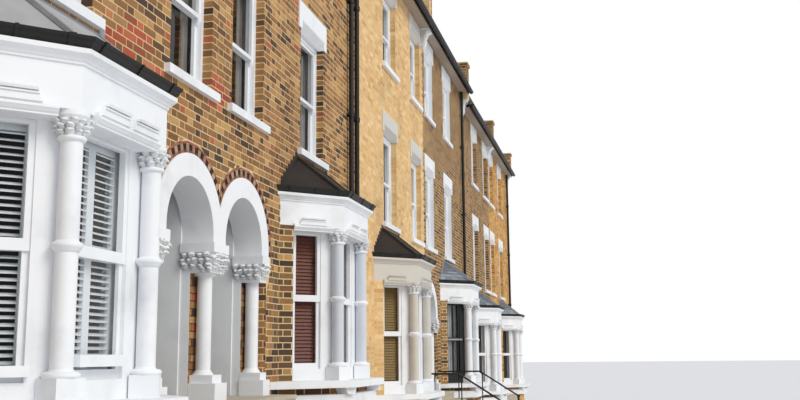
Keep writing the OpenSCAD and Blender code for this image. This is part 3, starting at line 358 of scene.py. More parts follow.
# %% Glass
# Clear, so that the blinds show. Its outer face alone reflects, by a rule like Schlick's:
# 0.02 + 0.98 (1 - cos)^3.5. Seen square on it mirrors the dim far side of the street, so it
# starts low. Along the street it mirrors the sky, off each surface of the panes, so its power
# is 3.5 and not 5.
glass = bpy.data.materials.new("window_glass")
glass.use_nodes = True
tree = glass.node_tree
tree.nodes.clear()
waves = noise(tree, add(tree, "TexCoord").outputs["Object"], 3.0, 1.0)
wavy = add(tree, "Bump", {"Height": waves, "Distance": 0.004, "Strength": 0.5}).outputs[0]
clear = add(tree, "BsdfTransparent", {0: linear("FBFCFC")})
shine = add(tree, "BsdfGlossy", {"Roughness": 0.03, "Normal": wavy})
facing = add(tree, "LayerWeight", {"Blend": 0.5, "Normal": wavy}).outputs["Facing"]
steep = remap(tree, maths(tree, facing, "POWER", 3.5), 0.0, 1.0, 0.02, 1.0)
outside = maths(tree, 1.0, "SUBTRACT", add(tree, "NewGeometry").outputs["Backfacing"])
share = maths(tree, steep, "MULTIPLY", outside)
pane = add(tree, "MixShader", {0: share, 1: clear.outputs[0], 2: shine.outputs[0]})
tree.links.new(pane.outputs[0], add(tree, "OutputMaterial").inputs[0])
print("materials:", len(bpy.data.materials))

# %% Every node of the frame gets its finish
FINISHES = {
    mortar: ["front_wall_left", "front_wall_middle", "front_wall_right", "upper_wall_left",
             "upper_wall_middle", "upper_wall_right", "rear_walls", "party_walls",
             "parapet_ends", "chimney_stacks", "bay_bases", "bay_piers", "brick_rings",
             "lobby_walls", "step_bases"],
    stucco: ["eaves_corbels", "window_sills", "window_lintels", "bay_ledges", "bay_columns",
             "bay_friezes", "bay_cornices", "hood_moulds", "porch_arches", "porch_columns",
             "porch_capitals"],
    timber: ["window_boxes", "bay_frames"],
    render: ["lobby_render"],
    black_iron: ["fascia_boards", "eaves_gutters", "downpipes", "bay_gutters", "step_rails"],
    blue_door: ["front_doors"],
    slate_bed: ["roof_front", "roof_rear"],
    felt: ["bay_roofs"],
    terracotta: ["ridge_tiles", "chimney_pots"],
    boards: ["soffit_boards"],
    pine: ["floors"],
    york_stone: ["step_treads"],
    glass: ["window_glass", "bay_glass"],
}
for finish, names in FINISHES.items():
    for name in names:
        nodes[name].data.materials.clear()
        nodes[name].data.materials.append(finish)
left_over = sorted(set(nodes) - {n for names in FINISHES.values() for n in names})
print("nodes without a finish:", left_over)

# %% [markdown]
# ## Many small solids at once
# Bricks, slates, slats and wedges are all blocks with six faces, so one function turns two
# arrays of quads, the outer faces and the inner faces, into one closed mesh. A tint for
# each block is kept as a point attribute that its material reads.
# %% Mesh helpers
X, Z = np.array([1.0, 0.0, 0.0]), np.array([0.0, 0.0, 1.0])
BLOCK_FACES = np.array([[0, 1, 2, 3], [5, 4, 7, 6], [4, 5, 1, 0], [3, 2, 6, 7], [4, 0, 3, 7],
                        [1, 5, 6, 2]])
totals = {}


def piece(name, points, faces, material, slot, tint=None, smooth=False):
    """One mesh object at the origin from an array of points and an array of faces of equal
    length. tint is one linear colour for each point."""
    mesh = bpy.data.meshes.new(name)
    count, corners = faces.shape
    mesh.vertices.add(len(points))
    mesh.vertices.foreach_set("co", np.asarray(points, np.float32).ravel())
    mesh.loops.add(faces.size)
    mesh.loops.foreach_set("vertex_index", faces.astype(np.int32).ravel())
    mesh.polygons.add(count)
    mesh.polygons.foreach_set("loop_start", np.arange(0, faces.size, corners, dtype=np.int32))
    mesh.update(calc_edges=True)
    mesh.polygons.foreach_set("use_smooth", np.full(count, smooth))
    if tint is not None:
        layer = mesh.attributes.new("tint", "FLOAT_COLOR", "POINT")
        rgba = np.concatenate([tint, np.ones((len(tint), 1))], 1).astype(np.float32)
        layer.data.foreach_set("color", rgba.ravel())
    mesh.validate()
    made = bpy.data.objects.new(name, mesh)
    bpy.context.scene.collection.objects.link(made)
    mesh.materials.append(material)
    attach(made, "root")
    totals[name] = count * (corners - 2)
    return made


def join(parts):
    """Several (points, faces) as one."""
    offsets = np.cumsum([0] + [len(p[0]) for p in parts[:-1]])
    return (np.concatenate([p[0] for p in parts]),
            np.concatenate([p[1] + k for p, k in zip(parts, offsets)]))


def blocks(name, parts, material, slot, tints=None):
    """A piece of blocks. Each part is (outer quads, inner quads), both n x 4 x 3, with the
    outer quads counterclockwise as seen from outside. tints holds one colour a block."""
    outer = np.concatenate([p[0] for p in parts])
    inner = np.concatenate([p[1] for p in parts])
    points = np.concatenate([outer, inner], 1).reshape(-1, 3)
    faces = (np.arange(len(outer))[:, None, None] * 8 + BLOCK_FACES).reshape(-1, 4)
    tint = None if tints is None else np.repeat(tints, 8, 0)
    return piece(name, points, faces, material, slot, tint)


def bar(low, high, along, up, origin):
    """One block between two corners (along, out, up) of a local frame, as a part."""
    along, up, origin = (np.asarray(v, float) for v in (along, up, origin))
    out = np.cross(along, up)
    u = np.array([low[0], high[0], high[0], low[0]])[:, None]
    v = np.array([low[2], low[2], high[2], high[2]])[:, None]
    face = origin + u * along + v * up
    return (face + high[1] * out)[None], (face + low[1] * out)[None]


# %% [markdown]
# ## Brick by brick
# The walls are laid in Flemish bond: in each course a long stretcher and a short header take
# turns, and each header sits over the middle of a stretcher. The bricks are old ones, 220 by
# 63 mm on the face with joints of 12.5 mm, so a course is 75.7 mm high. Every brick is a
# block that stands one or two millimetres proud of the wall, which shows between them as
# mortar.
# Openings are cut out of the bond as rectangles and circles, brick by brick.
# %% Laying courses
JOINT, COURSE = 0.0125, 0.0757
FLEMISH = (0.2200, 0.1020)
rng = np.random.default_rng(1885)


def without_box(bricks, hole):
    """The bricks with a rectangle (left, right, low, high) cut out: what stands left and
    right of it, below it and above it. A brick is a row (a0, a1, b0, b1, v0, v1): where its
    left end meets its lower and upper edge, the same for its right end, and the edges."""
    u0, u1, v0, v1 = hole
    hit = ((bricks[:, 4] < v1) & (bricks[:, 5] > v0) & (bricks[:, :2].min(1) < u1)
           & (bricks[:, 2:4].max(1) > u0))
    far = np.inf
    parts = [np.clip(bricks[hit], least, most) for least, most in (
        (-far, (far, far, u0, u0, far, far)), ((u1, u1, -far, -far, -far, -far), far),
        ((u0, u0, -far, -far, -far, -far), (far, far, u1, u1, far, v0)),
        ((u0, u0, -far, -far, v1, -far), (far, far, u1, u1, far, far)))]
    return np.concatenate([bricks[~hit], *parts])


def without_circle(bricks, hole):
    """The bricks with a circle (u, v, radius) cut out. The cut ends follow its chord from a
    brick's lower edge to its upper edge."""
    u, v, radius = hole
    half = np.sqrt(np.maximum(radius ** 2 - (bricks[:, 4:] - v) ** 2, 0))
    hit = half.max(1) > 0
    left, right = bricks[hit], bricks[hit]
    left[:, 2:4] = np.minimum(left[:, 2:4], u - half[hit])
    right[:, :2] = np.maximum(right[:, :2], u + half[hit])
    return np.concatenate([bricks[~hit], left, right])


def courses(origin, along, up, u_span, v_span, holes=(), ends=None, units=FLEMISH,
            course=COURSE, joint=JOINT, proud=(0.001, 0.0022), sink=0.004, tail=0.0):
    """Blocks laid in courses over a flat patch, as (outer quads, inner quads).

    The patch's spans are measured from origin; along and up are unit vectors, and along x up
    points out of the wall. Each course repeats the lengths in units, and every other course
    is shifted by half of their sum. ends(v), if given, is the left and right limits at each
    height in an array v. A block stands out by a random amount within proud, plus tail at
    its lower edge, and reaches sink behind the wall's face."""
    along, up, origin = (np.asarray(v, float) for v in (along, up, origin))
    out = np.cross(along, up)
    row = np.arange(math.ceil((v_span[1] - v_span[0]) / course - 0.02))[:, None, None]
    period = sum(units) + joint * len(units)
    starts = np.concatenate([[0], np.cumsum(np.array(units[:-1]) + joint)])
    turns = np.arange(-1, math.ceil((u_span[1] - u_span[0]) / period) + 1)[:, None]
    a = u_span[0] + (row % 2) * period / 2 + turns * period + starts
    v0 = np.broadcast_to(v_span[0] + row * course + joint / 2, a.shape).ravel()
    v1 = np.minimum(v0 + course - joint, v_span[1])
    limits = [ends(v) if ends else u_span for v in (v0, v1)]
    bricks = np.stack([*(np.maximum(a.ravel(), left) for left, right in limits),
                       *(np.minimum((a + units).ravel(), right) for left, right in limits),
                       v0, v1], 1)
    for hole in holes:
        bricks = (without_box if len(hole) == 4 else without_circle)(bricks, hole)
    width = bricks[:, 2:4] - bricks[:, :2]
    bricks = bricks[(width.max(1) > 0.02) & (width.sum(1) > 0.016)
                    & (bricks[:, 5] - bricks[:, 4] > 0.014)]
    bricks[:, 2:4] = np.maximum(bricks[:, 2:4], bricks[:, :2])
    u, v = bricks[:, [0, 2, 3, 1]], bricks[:, [4, 4, 5, 5]]
    face = origin + u[..., None] * along + v[..., None] * up
    lift = rng.uniform(*proud, len(u))[:, None] + np.array([tail, tail, 0, 0])
    return face + lift[..., None] * out, face - sink * out


# %% [markdown]
# Stock bricks come out of the kiln in many shades: ochre, tan, brown, a few near black and a
# few orange. Each house was cleaned or left sooty in its own way, so each has its own
# mixture of shades, and the bricks take theirs by where they lie along the street.
# %% Brick colours
SHADES = {
    "mixed": (["BA8D58", "A67847", "8D633B", "694A2E", "4E3A2D", "B8663F", "C79D60", "986B3D"],
              [22, 20, 18, 11, 7, 3, 9, 10], 0.13),
    "clean": (["F0C88E", "EABF85", "F4D298", "E2B87A", "EABE82", "D8AA6C"],
              [28, 24, 18, 14, 12, 4], 0.05),
    "brown": (["96703F", "84603A", "A07A4C", "6E4E30", "AC8654", "57402B"],
              [24, 22, 20, 14, 10, 10], 0.12),
    "orange": (["CB9440", "D9A452", "BC8236", "B87232", "9E6E34", "E0B066"],
               [28, 24, 16, 8, 10, 14], 0.1),
    "red": (["B8583A", "C86C46", "A44C32", "C47E54", "9A5636"], [26, 24, 20, 16, 14], 0.1),
    "sooty": (["5C4834", "6E5539", "7E6340", "8C6B42", "4C3C2E"], [26, 24, 20, 16, 14], 0.12),
}
HOUSE_SHADES = ["mixed", "mixed", "clean", "brown", "brown", "orange"]
# Repairs and soot on the front of the first pair: centre, reach across and up, the shades
# there and the share of bricks that have them.
PATCHES = [((-1.85, 3.02), (0.62, 0.26), "red", 0.6), ((-0.08, 3.14), (0.3, 0.2), "red", 0.6),
           ((4.35, 2.62), (0.45, 0.3), "red", 0.45), ((1.95, 1.1), (0.3, 1.3), "sooty", 0.65),
           ((0.0, 2.35), (0.5, 0.35), "sooty", 0.4)]


def shade_table(codes):
    """Linear colours, one a row."""
    return np.array([linear(code, alpha=False) for code in codes])


def drawn_shades(name, count):
    """A random linear colour of a mixture for each of count bricks."""
    codes, weights, spread = SHADES[name]
    picked = shade_table(codes)[rng.choice(len(codes), count, p=np.array(weights) / sum(weights))]
    return picked * rng.uniform(1 - spread, 1 + spread, (count, 1))


def brick_tints(parts, shades=None):
    """A linear colour for each brick, drawn from the mixture of the house it lies in, or of
    the patch of the front it lies in."""
    x, y, z = np.concatenate([p[0].mean(1) for p in parts]).T
    house = np.clip(((x + 3 * HOUSE_W) / HOUSE_W).astype(int), 0, 5)
    colours = np.zeros((len(x), 3))
    for k, name in enumerate(shades or HOUSE_SHADES):
        colours[house == k] = drawn_shades(name, (house == k).sum())
    for (u, v), (across, up_by), name, share in PATCHES:
        away = np.hypot((x - PAIRS[0][0] - u) / across, (z - PAIRS[0][1] - v) / up_by)
        here = (away < 1) & (y < FACE_Y + WALL_T) & (rng.random(len(x)) < share)
        colours[here] = drawn_shades(name, here.sum())
    return colours


def brickwork(name, parts):
    """A piece of stock bricks in the shades of the houses they belong to."""
    return blocks(name, parts, stock_brick, "stock_brick", brick_tints(parts))


# %% Front walls
def window_holes(centres, storeys, ear=LINTEL_EAR):
    """Openings, sills and lintels of a wall's windows, as rectangles (u0, u1, v0, v1)."""
    found = []
    for x, w in centres:
        for foot, h in storeys:
            found += [(x - w / 2, x + w / 2, foot, foot + h),
                      (x - w / 2 - SILL_EAR, x + w / 2 + SILL_EAR, foot - SILL_H, foot),
                      (x - w / 2 - ear, x + w / 2 + ear, foot + h, foot + h + LINTEL_H)]
    return found


FRONT_WINDOWS = [(side * x, w) for x, w in (PORCH_WINDOW, BAY_WINDOW) for side in (-1, 1)]
# A level below every pair's ground
UNDER = -3.0
front_holes = window_holes(FRONT_WINDOWS, STOREYS) + [
    (-ARCH_X, ARCH_Z, RING_OUT), (ARCH_X, ARCH_Z, RING_OUT),
    (-ARCH_X - RING_OUT, ARCH_X + RING_OUT, IMPOST, ARCH_Z),
    (-REBATE_X, REBATE_X, 0.0, IMPOST), (-FLIGHT_X, FLIGHT_X, UNDER, 0.0)]
front_holes += [(x - half, x + half, low, high) for half, low, high in
                ((BAY_HALF, UNDER, BAY_EAVES), (BAY_FRONT, BAY_EAVES, BAY_ROOF))
                for x in (-BAY_X, BAY_X)]
for p, (x, z) in enumerate(PAIRS):
    brickwork(f"front_bricks_{p + 1}", [courses(
        (x, FACE_Y, z), X, Z, (-HOUSE_W, HOUSE_W), (-z, SOFFIT), front_holes)])


# %% Window and porch reveals
FLUSH = (0.001, 0.002)


def side_faces(x, y, z, half, depth, v_span):
    """Bricks cut to the depth, one to a course, up both sides of an opening that reaches half
    its width either way from x and runs back from y by that depth."""
    return [courses((x - way * half, first, z), (0, way, 0), Z, (0, depth), v_span,
                    units=(0.4,), proud=FLUSH) for way, first in ((1, y), (-1, y + depth))]


def window_sides(x, y, z, windows, storeys):
    """The side faces of all the windows of a wall."""
    parts = []
    for centre, w in windows:
        for foot, h in storeys:
            parts += side_faces(x + centre, y, z, w / 2, SASH_BACK, (foot, foot + h))
    return parts


for p, (x, z) in enumerate(PAIRS):
    parts = window_sides(x, FACE_Y, z, FRONT_WINDOWS, STOREYS)
    parts += side_faces(x, FACE_Y, z, REBATE_X, REBATE_D, (0.0, CAPITAL_LOW))
    for span in ((-REBATE_X, -FAR), (-NEAR, NEAR), (FAR, REBATE_X)):
        parts.append(courses((x, FACE_Y + REBATE_D, z), X, Z, span, (0.0, CAPITAL_LOW),
                             proud=FLUSH))
    brickwork(f"reveal_bricks_{p + 1}", parts)


# %% [markdown]
# The bays have brick only at their foot, on three faces, in the one dark course under the
# ledge, and in the piers where the bay meets the wall. A face's own frame starts at its left
# corner as seen from the street.
# %% Bay brickwork
def bay_faces(x, z):
    """The three faces of a bay: origin, unit vector along the face, and length. Its plan is
    half a long octagon."""
    y = FACE_Y - BAY_OUT
    corners = np.array([[x - BAY_HALF, FACE_Y, z], [x - BAY_FRONT, y, z], [x + BAY_FRONT, y, z],
                        [x + BAY_HALF, FACE_Y, z]])
    spans = np.diff(corners, axis=0)
    lengths = np.linalg.norm(spans, axis=1)
    return list(zip(corners, spans / lengths[:, None], lengths))


BAYS = [(x + side * BAY_X, z, side) for x, z, side in HOUSES]
parts = []
for x, z, side in BAYS:
    for k, (corner, along, length) in enumerate(bay_faces(x, z)):
        for v_span in ((-z, BAND_LOW), (BAND_TOP, LEDGE)):
            parts.append(courses(corner, along, Z, (0, length), v_span))
        if k != 1:
            span = (0, PIER_W) if k == 0 else (length - PIER_W, length)
            parts.append(courses(corner, along, Z, span, (LEDGE_TOP, FRIEZE)))
            inwards = np.cross(Z, along)
            at, run = corner + along * span[1 if k == 0 else 0], inwards
            if k == 2:
                at, run = at + inwards * BAY_BACK, -inwards
            parts.append(courses(at, run, Z, (0, BAY_BACK), (LEDGE_TOP, FRIEZE), units=(0.4,),
                                 proud=FLUSH))
brickwork("bay_bricks", parts)

# %% Rear walls and end walls
REAR_WINDOWS = [(side * HOUSE_W * share, BAY_WINDOW[1]) for share in (0.27, 0.72)
                for side in (-1, 1)]
REAR_STOREYS = [(0.9, 1.45)] + STOREYS
rear_y = FACE_Y + HOUSE_D
for p, (x, z) in enumerate(PAIRS):
    brickwork(f"rear_bricks_{p + 1}", [courses(
        (x, rear_y, z), (-1, 0, 0), Z, (-HOUSE_W, HOUSE_W), (-z, SOFFIT),
        window_holes(REAR_WINDOWS, REAR_STOREYS, 0.0))])
    brickwork(f"rear_reveal_bricks_{p + 1}",
              window_sides(x, rear_y - SASH_BACK, z, REAR_WINDOWS, REAR_STOREYS))


def gable_ends(v):
    """Left and right limits of an end wall at heights v over the porch floor: the whole
    depth up to the eaves, then narrowing with the slope of its parapet."""
    over = np.maximum(v - PARAPET_FOOT - WALL_T * TAN, 0) / TAN + WALL_T
    low = np.where(v > SOFFIT + 0.7, over, 0.0)
    return low, HOUSE_D - low


for name, way, y, (x, z) in (("left", -1, rear_y, PAIRS[0]), ("right", 1, FACE_Y, PAIRS[2])):
    brickwork(f"end_bricks_{name}", [courses(
        (x + way * HOUSE_W, y, z), (0, way, 0), Z, (0, HOUSE_D),
        (-z, RIDGE + SLATE_TOP + PARAPET_H), ends=gable_ends)])
print("triangles so far:", sum(totals.values()))

# %% [markdown]
# ## Roofs
# Each roof slope is covered with slates 250 mm wide that show 200 mm of their length, laid
# with broken joints. A slate is a thin wedge: its tail stands on the course below. The same
# function lays them, with the slope as its upward direction.
# %% Slates
GAUGE, SLATE_W = 0.2, (0.25,)
SLATE_SHADES = ["5B6068", "666B74", "4F545B", "727780", "5F6166"]


def slate_tints(parts):
    """One shade of slate for each slate, with a small change of brightness."""
    count = sum(len(p[0]) for p in parts)
    picked = shade_table(SLATE_SHADES)[rng.integers(0, len(SLATE_SHADES), count)]
    return picked * rng.uniform(0.85, 1.15, (count, 1))


slope = (RIDGE_Y + EAVES_OUT) / math.cos(PITCH)
slope_up = np.array([0, math.cos(PITCH), math.sin(PITCH)])
for name, way, eaves_y in (("front", 1, FACE_Y - EAVES_OUT), ("rear", -1, rear_y + EAVES_OUT)):
    parts = []
    for x, z, side in HOUSES:
        # The row's first and last houses end at an end wall, the others at a party wall.
        outer = END_T if abs(x + side * HOUSE_W) > 2.9 * HOUSE_W else PARTY_T / 2
        edges = sorted([side * PARTY_T / 2, side * (HOUSE_W - outer)])
        stack = (-STACK_X, STACK_X, slope - STACK_Y / math.cos(PITCH), slope + 1)
        span = edges if way > 0 else [-edges[1], -edges[0]]
        parts.append(courses((x, eaves_y, z + EAVES_TOP + SLATE_TOP), (way, 0, 0),
                             slope_up * (1, way, 1), span, (0.0, slope - 0.06), [stack],
                             units=SLATE_W, course=GAUGE, joint=0.003, proud=(0.001, 0.002),
                             tail=0.008))
    blocks(f"slates_{name}", parts, slate, "slate", slate_tints(parts))

# %% [markdown]
# ## Arch rings
# Over each white arch runs a ring of rubbed bricks, cut as wedges that point at the arch's
# centre. Their inner ends are red, and their outer ends are buff in turn with near-black ones,
# whose colour is painted shadow of recessed ends; all the wedges stand out alike. Round it
# goes a thin rim of red bricks laid lengthways. A wedge is a block between two radii and two
# angles. Where the two arches of a pair meet, their wedges stop at the line between them.
# %% Wedges round the arches
RIM_T, WEDGE_ANGLE, RING_JOINT = 0.027, math.radians(4.7), 0.010


def wedges(x, z, side, r0, r1, pitch):
    """Blocks between radii r0 and r1, one for each pitch of angle, from a little below the
    springing on each side, as (outer quads, inner quads). Points past the pair's middle
    line are moved back to it, and points below the capitals up to them."""
    count = round(math.pi / pitch) + 2
    start = math.pi / 2 + (np.arange(count) - count / 2) * pitch + RING_JOINT / 2
    ends = start + pitch - RING_JOINT
    angle = np.stack([ends, start, start, ends], 1)
    radius = np.array([r0, r0, r1, r1])
    u = ARCH_X * side + radius * np.cos(angle)
    v = ARCH_Z + radius * np.sin(angle)
    u = side * np.maximum(side * u, 0.003)
    v = np.maximum(v, IMPOST)
    wide = np.abs(u[:, [0, 3]] - u[:, [1, 2]]) + np.abs(v[:, [0, 3]] - v[:, [1, 2]])
    u, v = u[wide.max(1) > 0.012], v[wide.max(1) > 0.012]
    face = np.stack([x + u, np.full_like(u, FACE_Y), z + v], 2)
    lift = rng.uniform(0.003, 0.006, len(u))[:, None, None]
    return face - (0, 1, 0) * lift, face + (0, 0.004, 0)


parts, tints = [], []
split = ARCH_OUT + (RING_OUT - ARCH_OUT - RIM_T) * 0.32
# Shades in even places are for every other block, those in odd places for the ones between.
# Among the outer ends the near-black ones are painted shadow of recessed ends, and the buff
# ones are the bricks' own colour.
WEDGE_COLOURS_AND_PAINTED_SHADOWS = {"inner": ["8A5442", "A06A54", "7A4A3A", "A8745C"],
                "outer": ["20130F", "B08A70", "2E1C15", "C4A084", "180E0B", "A47A62"],
                "rim": ["9A5A44", "A86850", "8C4C38", "B0765C"]}
for x, z, side in HOUSES:
    for kind, r0, r1, pitch in (
            ("inner", ARCH_OUT, split, WEDGE_ANGLE),
            ("outer", split, RING_OUT - RIM_T, WEDGE_ANGLE),
            ("rim", RING_OUT - RIM_T + 0.006, RING_OUT, math.radians(14))):
        part = wedges(x, z, side, r0, r1, pitch)
        table = shade_table(WEDGE_COLOURS_AND_PAINTED_SHADOWS[kind])
        count = len(part[0])
        tints.append(table[2 * rng.integers(0, len(table) // 2, count) + np.arange(count) % 2])
        parts.append(part)
blocks("arch_ring_bricks", parts, red_brick, "red_brick", np.concatenate(tints))

# %% [markdown]
# ## Painted skins
# Inside the porches the brick is rendered and painted, from the columns' rebate back to the
# lobby, and one house has its window reveals painted white. Each skin is a thin block on the
# wall's face.
# %% Porch and window reveals in paint
def side_skins(centre, y, z, half, depth, v_span, thick, side=1, ahead=0.0):
    """Skins on both side faces of an opening, as in side_faces, the one of the given side
    first. They may start ahead of y."""
    return [bar((-ahead, -0.002, v_span[0]), (depth, thick, v_span[1]), (0, way, 0), Z,
                (centre - way * half, y if way > 0 else y + depth, z)) for way in (side, -side)]


parts = []
for x, z, side in HOUSES:
    parts += side_skins(x + side * ARCH_X, FACE_Y + REBATE_D, z, ARCH_IN, WALL_T - REBATE_D,
                        (0, CAPITAL_LOW), 0.004, side)
blocks("porch_reveal_render", parts, render, "grey_render")
x, z, side = HOUSES[3]
parts = []
for centre, w in (PORCH_WINDOW, BAY_WINDOW):
    for foot, h in STOREYS:
        parts += side_skins(x + centre, FACE_Y, z, w / 2, SASH_BACK, (foot, foot + h), 0.006,
                            ahead=0.004)
blocks("white_window_reveals", parts, stucco, "painted_stucco")

# %% [markdown]
# ## Behind the glass
# What hangs in the windows tells the houses apart. The first bay has white louvred shutters,
# the second dark red wooden blinds, the third olive ones, and the last three have grey or
# white curtains. A slat is a thin block turned about its length. A curtain is a sheet folded
# like a wave.
# %% Slats and shutters
# The width of the lights in a bay's three faces, how far the outer ones lie from the wall,
# and how far the glass lies behind the faces.
LIGHT_W, LIGHT_IN, PANE_BACK = (0.385, 0.69, 0.385), 0.255, BAY_BACK + 0.07


def bay_lights(x, z, behind=0.0):
    """The three window openings of a bay, at the glass or a distance behind it: origin, unit
    vector along the pane, and width."""
    found = []
    for width, k, (corner, along, length) in zip(LIGHT_W, range(3), bay_faces(x, z)):
        left = (LIGHT_IN, (length - width) / 2, length - LIGHT_IN - width)[k]
        inwards = np.cross(Z, along) * (PANE_BACK + behind)
        found.append((corner + along * left + inwards, along, width))
    return found


def slats(origin, along, width, v_span, pitch, deep, tilt, thick):
    """Slats across an opening: each is a block `deep` across, turned by tilt from level."""
    inwards = np.cross(Z, along)
    v = np.arange(v_span[0] + pitch / 2, v_span[1], pitch)[:, None, None]
    chord = math.cos(tilt) * inwards + math.sin(tilt) * Z
    normal = -math.sin(tilt) * inwards + math.cos(tilt) * Z
    ends = np.array([0, 1, 1, 0])[:, None] * width * along
    across = np.array([-0.5, -0.5, 0.5, 0.5])[:, None] * deep * chord
    face = origin + v * Z + ends + across
    top = face + normal * thick / 2
    return top, face - normal * thick / 2


LIGHT_LOW, LIGHT_HIGH, SHUTTER_TOP = 0.275, 1.96, 2.04
HUNG, SHUTTER_T, STILE, HIDDEN = 0.035, 0.03, 0.045, 0.05
RAILS = ((LIGHT_LOW, LIGHT_LOW + 0.07), (1.10, 1.16), (LIGHT_HIGH - 0.08, SHUTTER_TOP))
louvres, frames, wooden = [], [], ([], [])
for origin, along, width in bay_lights(*BAYS[0][:2], HUNG):
    panels = 2 if width > 0.5 else 1
    w = width / panels
    for n in range(panels):
        # The outer stiles run on behind the window's frame.
        left, right = n * w, (n + 1) * w
        inner = (left + STILE, right - STILE)
        outer = (left - (HIDDEN if n == 0 else 0), right + (HIDDEN if n == panels - 1 else 0))
        for u0, u1, v0, v1 in ((outer[0], inner[0], LIGHT_LOW, SHUTTER_TOP),
                               (inner[1], outer[1], LIGHT_LOW, SHUTTER_TOP),
                               *((*inner, *rail) for rail in RAILS)):
            frames.append(bar((u0, -SHUTTER_T, v0), (u1, 0.0, v1), along, Z, origin))
        middle = origin + np.cross(Z, along) * SHUTTER_T / 2 + along * inner[0]
        louvres.append(slats(middle, along, w - 2 * STILE, (LIGHT_LOW + 0.05, LIGHT_HIGH - 0.05),
                             pitch=0.0475, deep=0.046, tilt=math.radians(20), thick=0.010))
for k in (1, 2):
    wooden[k - 1].extend(slats(*light, (LIGHT_LOW, SHUTTER_TOP - 0.01), pitch=0.044,
                               deep=0.048, tilt=math.radians(64), thick=0.003)
                         for light in bay_lights(*BAYS[k][:2], HUNG))
blocks("louvred_shutters", louvres + frames, timber, "white_timber")


def wood_finish(name, dark, light):
    """Stained wood slats: grain drawn out along the slat, 3 mm across, under satin varnish."""
    return two_tone(name, dark, light, 1.0, 6.0, 0.0008, (4.0, 4.0, 300.0), Roughness=0.45)


blocks("red_blinds", wooden[0], wood_finish("mahogany_slats", "562211", "82391F"), "floor_boards")
blocks("olive_blinds", wooden[1], wood_finish("olive_slats", "74581E", "A07E34"), "floor_boards")


# %% Curtains
def folded_sheet(origin, along, width, v_span, fold, depth=0.016, thick=0.004, rows=4, columns=40):
    """A curtain as (points, faces), and how wide its cloth is. Its plan is a sine wave of
    wavelength fold and height depth, softened towards the heading, and it is a closed sheet
    with two faces."""
    inwards = np.cross(Z, along)
    u = np.linspace(0, width, columns)
    v = np.linspace(*v_span, rows)
    wave = np.sin(2 * math.pi * u / fold) * depth * np.linspace(1, 0.7, rows)[:, None]
    front = (origin + u[None, :, None] * along + v[:, None, None] * Z
             + wave[..., None] * inwards)
    points = np.stack([front, front + thick * inwards]).reshape(-1, 3)
    f, b = index = np.arange(len(points)).reshape(2, rows, columns)
    edge = np.concatenate([index[:, 0, :], index[:, 1:, -1], index[:, -1, -2::-1],
                           index[:, -2:0:-1, 0]], 1)
    ahead = np.roll(edge, -1, 1)
    quads = [np.stack([f[:-1, :-1], f[:-1, 1:], f[1:, 1:], f[1:, :-1]], -1).reshape(-1, 4),
             np.stack([b[:-1, 1:], b[:-1, :-1], b[1:, :-1], b[1:, 1:]], -1).reshape(-1, 4),
             np.stack([edge[0], edge[1], ahead[1], ahead[0]], -1)]
    cloth = np.linalg.norm(np.diff(front, axis=1), axis=2).sum(1).mean()
    return points, np.concatenate(quads), cloth


def cloth_finish(name, dark, light):
    """Plain woven curtain cloth: threads about 1 mm apart, drawn at 3 mm so they show."""
    material, tree, shader, place = start_material(name, Roughness=0.95, Sheen_Weight=0.2)
    cloth = blend(tree, noise(tree, place, 6.0, 3.0), dark, light)
    surface(tree, shader, cloth, noise(tree, place, 330.0, 2.0), 0.0006)
    return material


curtain_cloth = cloth_finish("grey_curtain_cloth", "8E9296", "C4C7CA")
net_cloth = cloth_finish("white_net", "C9CCCC", "F0F1F1")
brown_cloth = cloth_finish("brown_curtain_cloth", "5A5048", "8A7E74")


def curtain(name, places, v_span, cloth):
    """Curtains of one height joined as one piece. Each place is (origin, along,
    width). The cloth is cut about 1.2 times as wide as it hangs, so it is measured here."""
    sheets = [folded_sheet(np.asarray(origin, float), np.asarray(along, float), width, v_span,
                           width / max(1, round(width / 0.085)))
              for origin, along, width in places]
    made = piece(name, *join([sheet[:2] for sheet in sheets]), cloth, "white_timber")


# In a bay's light one curtain is drawn from the left over a share of the width, and another
# is bunched up at the right. In a window over the porches only the right one shows.
CURTAIN_BACK, BUNCHED, WINDOW_BUNCH = 0.05, 0.22, 0.16
for k, cloth, drawn in ((3, curtain_cloth, 0.62), (4, net_cloth, 0.3), (5, curtain_cloth, 0.3)):
    places = []
    for origin, along, width in bay_lights(*BAYS[k][:2], CURTAIN_BACK):
        places += [(origin, along, width * drawn),
                   (origin + along * width * (1 - BUNCHED), along, width * BUNCHED)]
    curtain(f"bay_curtains_{'ABCDEF'[k]}", places, (LIGHT_LOW, LIGHT_HIGH), cloth)
curtain_y = FACE_Y + SASH_BACK + SASH_DEEP + CURTAIN_BACK
for p, (x, z) in enumerate(PAIRS):
    for n, (foot, h) in enumerate(STOREYS):
        places = [((x + centre + w / 2 - 0.05 - WINDOW_BUNCH, curtain_y, z), X, WINDOW_BUNCH)
                  for centre, w in FRONT_WINDOWS]
        curtain(f"window_curtains_{p + 1}_{n + 1}", places, (foot + 0.06, foot + h - 0.06),
                brown_cloth if p == 0 else net_cloth)
print("triangles so far:", sum(totals.values()))

# %% [markdown]
# ## Carved capitals
# The capitals are stiff-leaf work: each leaf grows up the bell and curls over at its tip.
# One leaf is a tube with a flat oval section. Its centre line leans out more and more as it
# rises, its width swells and shrinks in lobes, and its section is cupped. All the leaves are
# worked out at once, from the place and facing of each.
# %% Leaves
def fan(ring):
    """Quads that close a ring with an even number of points, facing the way it turns."""
    return np.array([[ring[0], *ring[i:i + 3]] for i in range(1, len(ring) - 2, 2)])


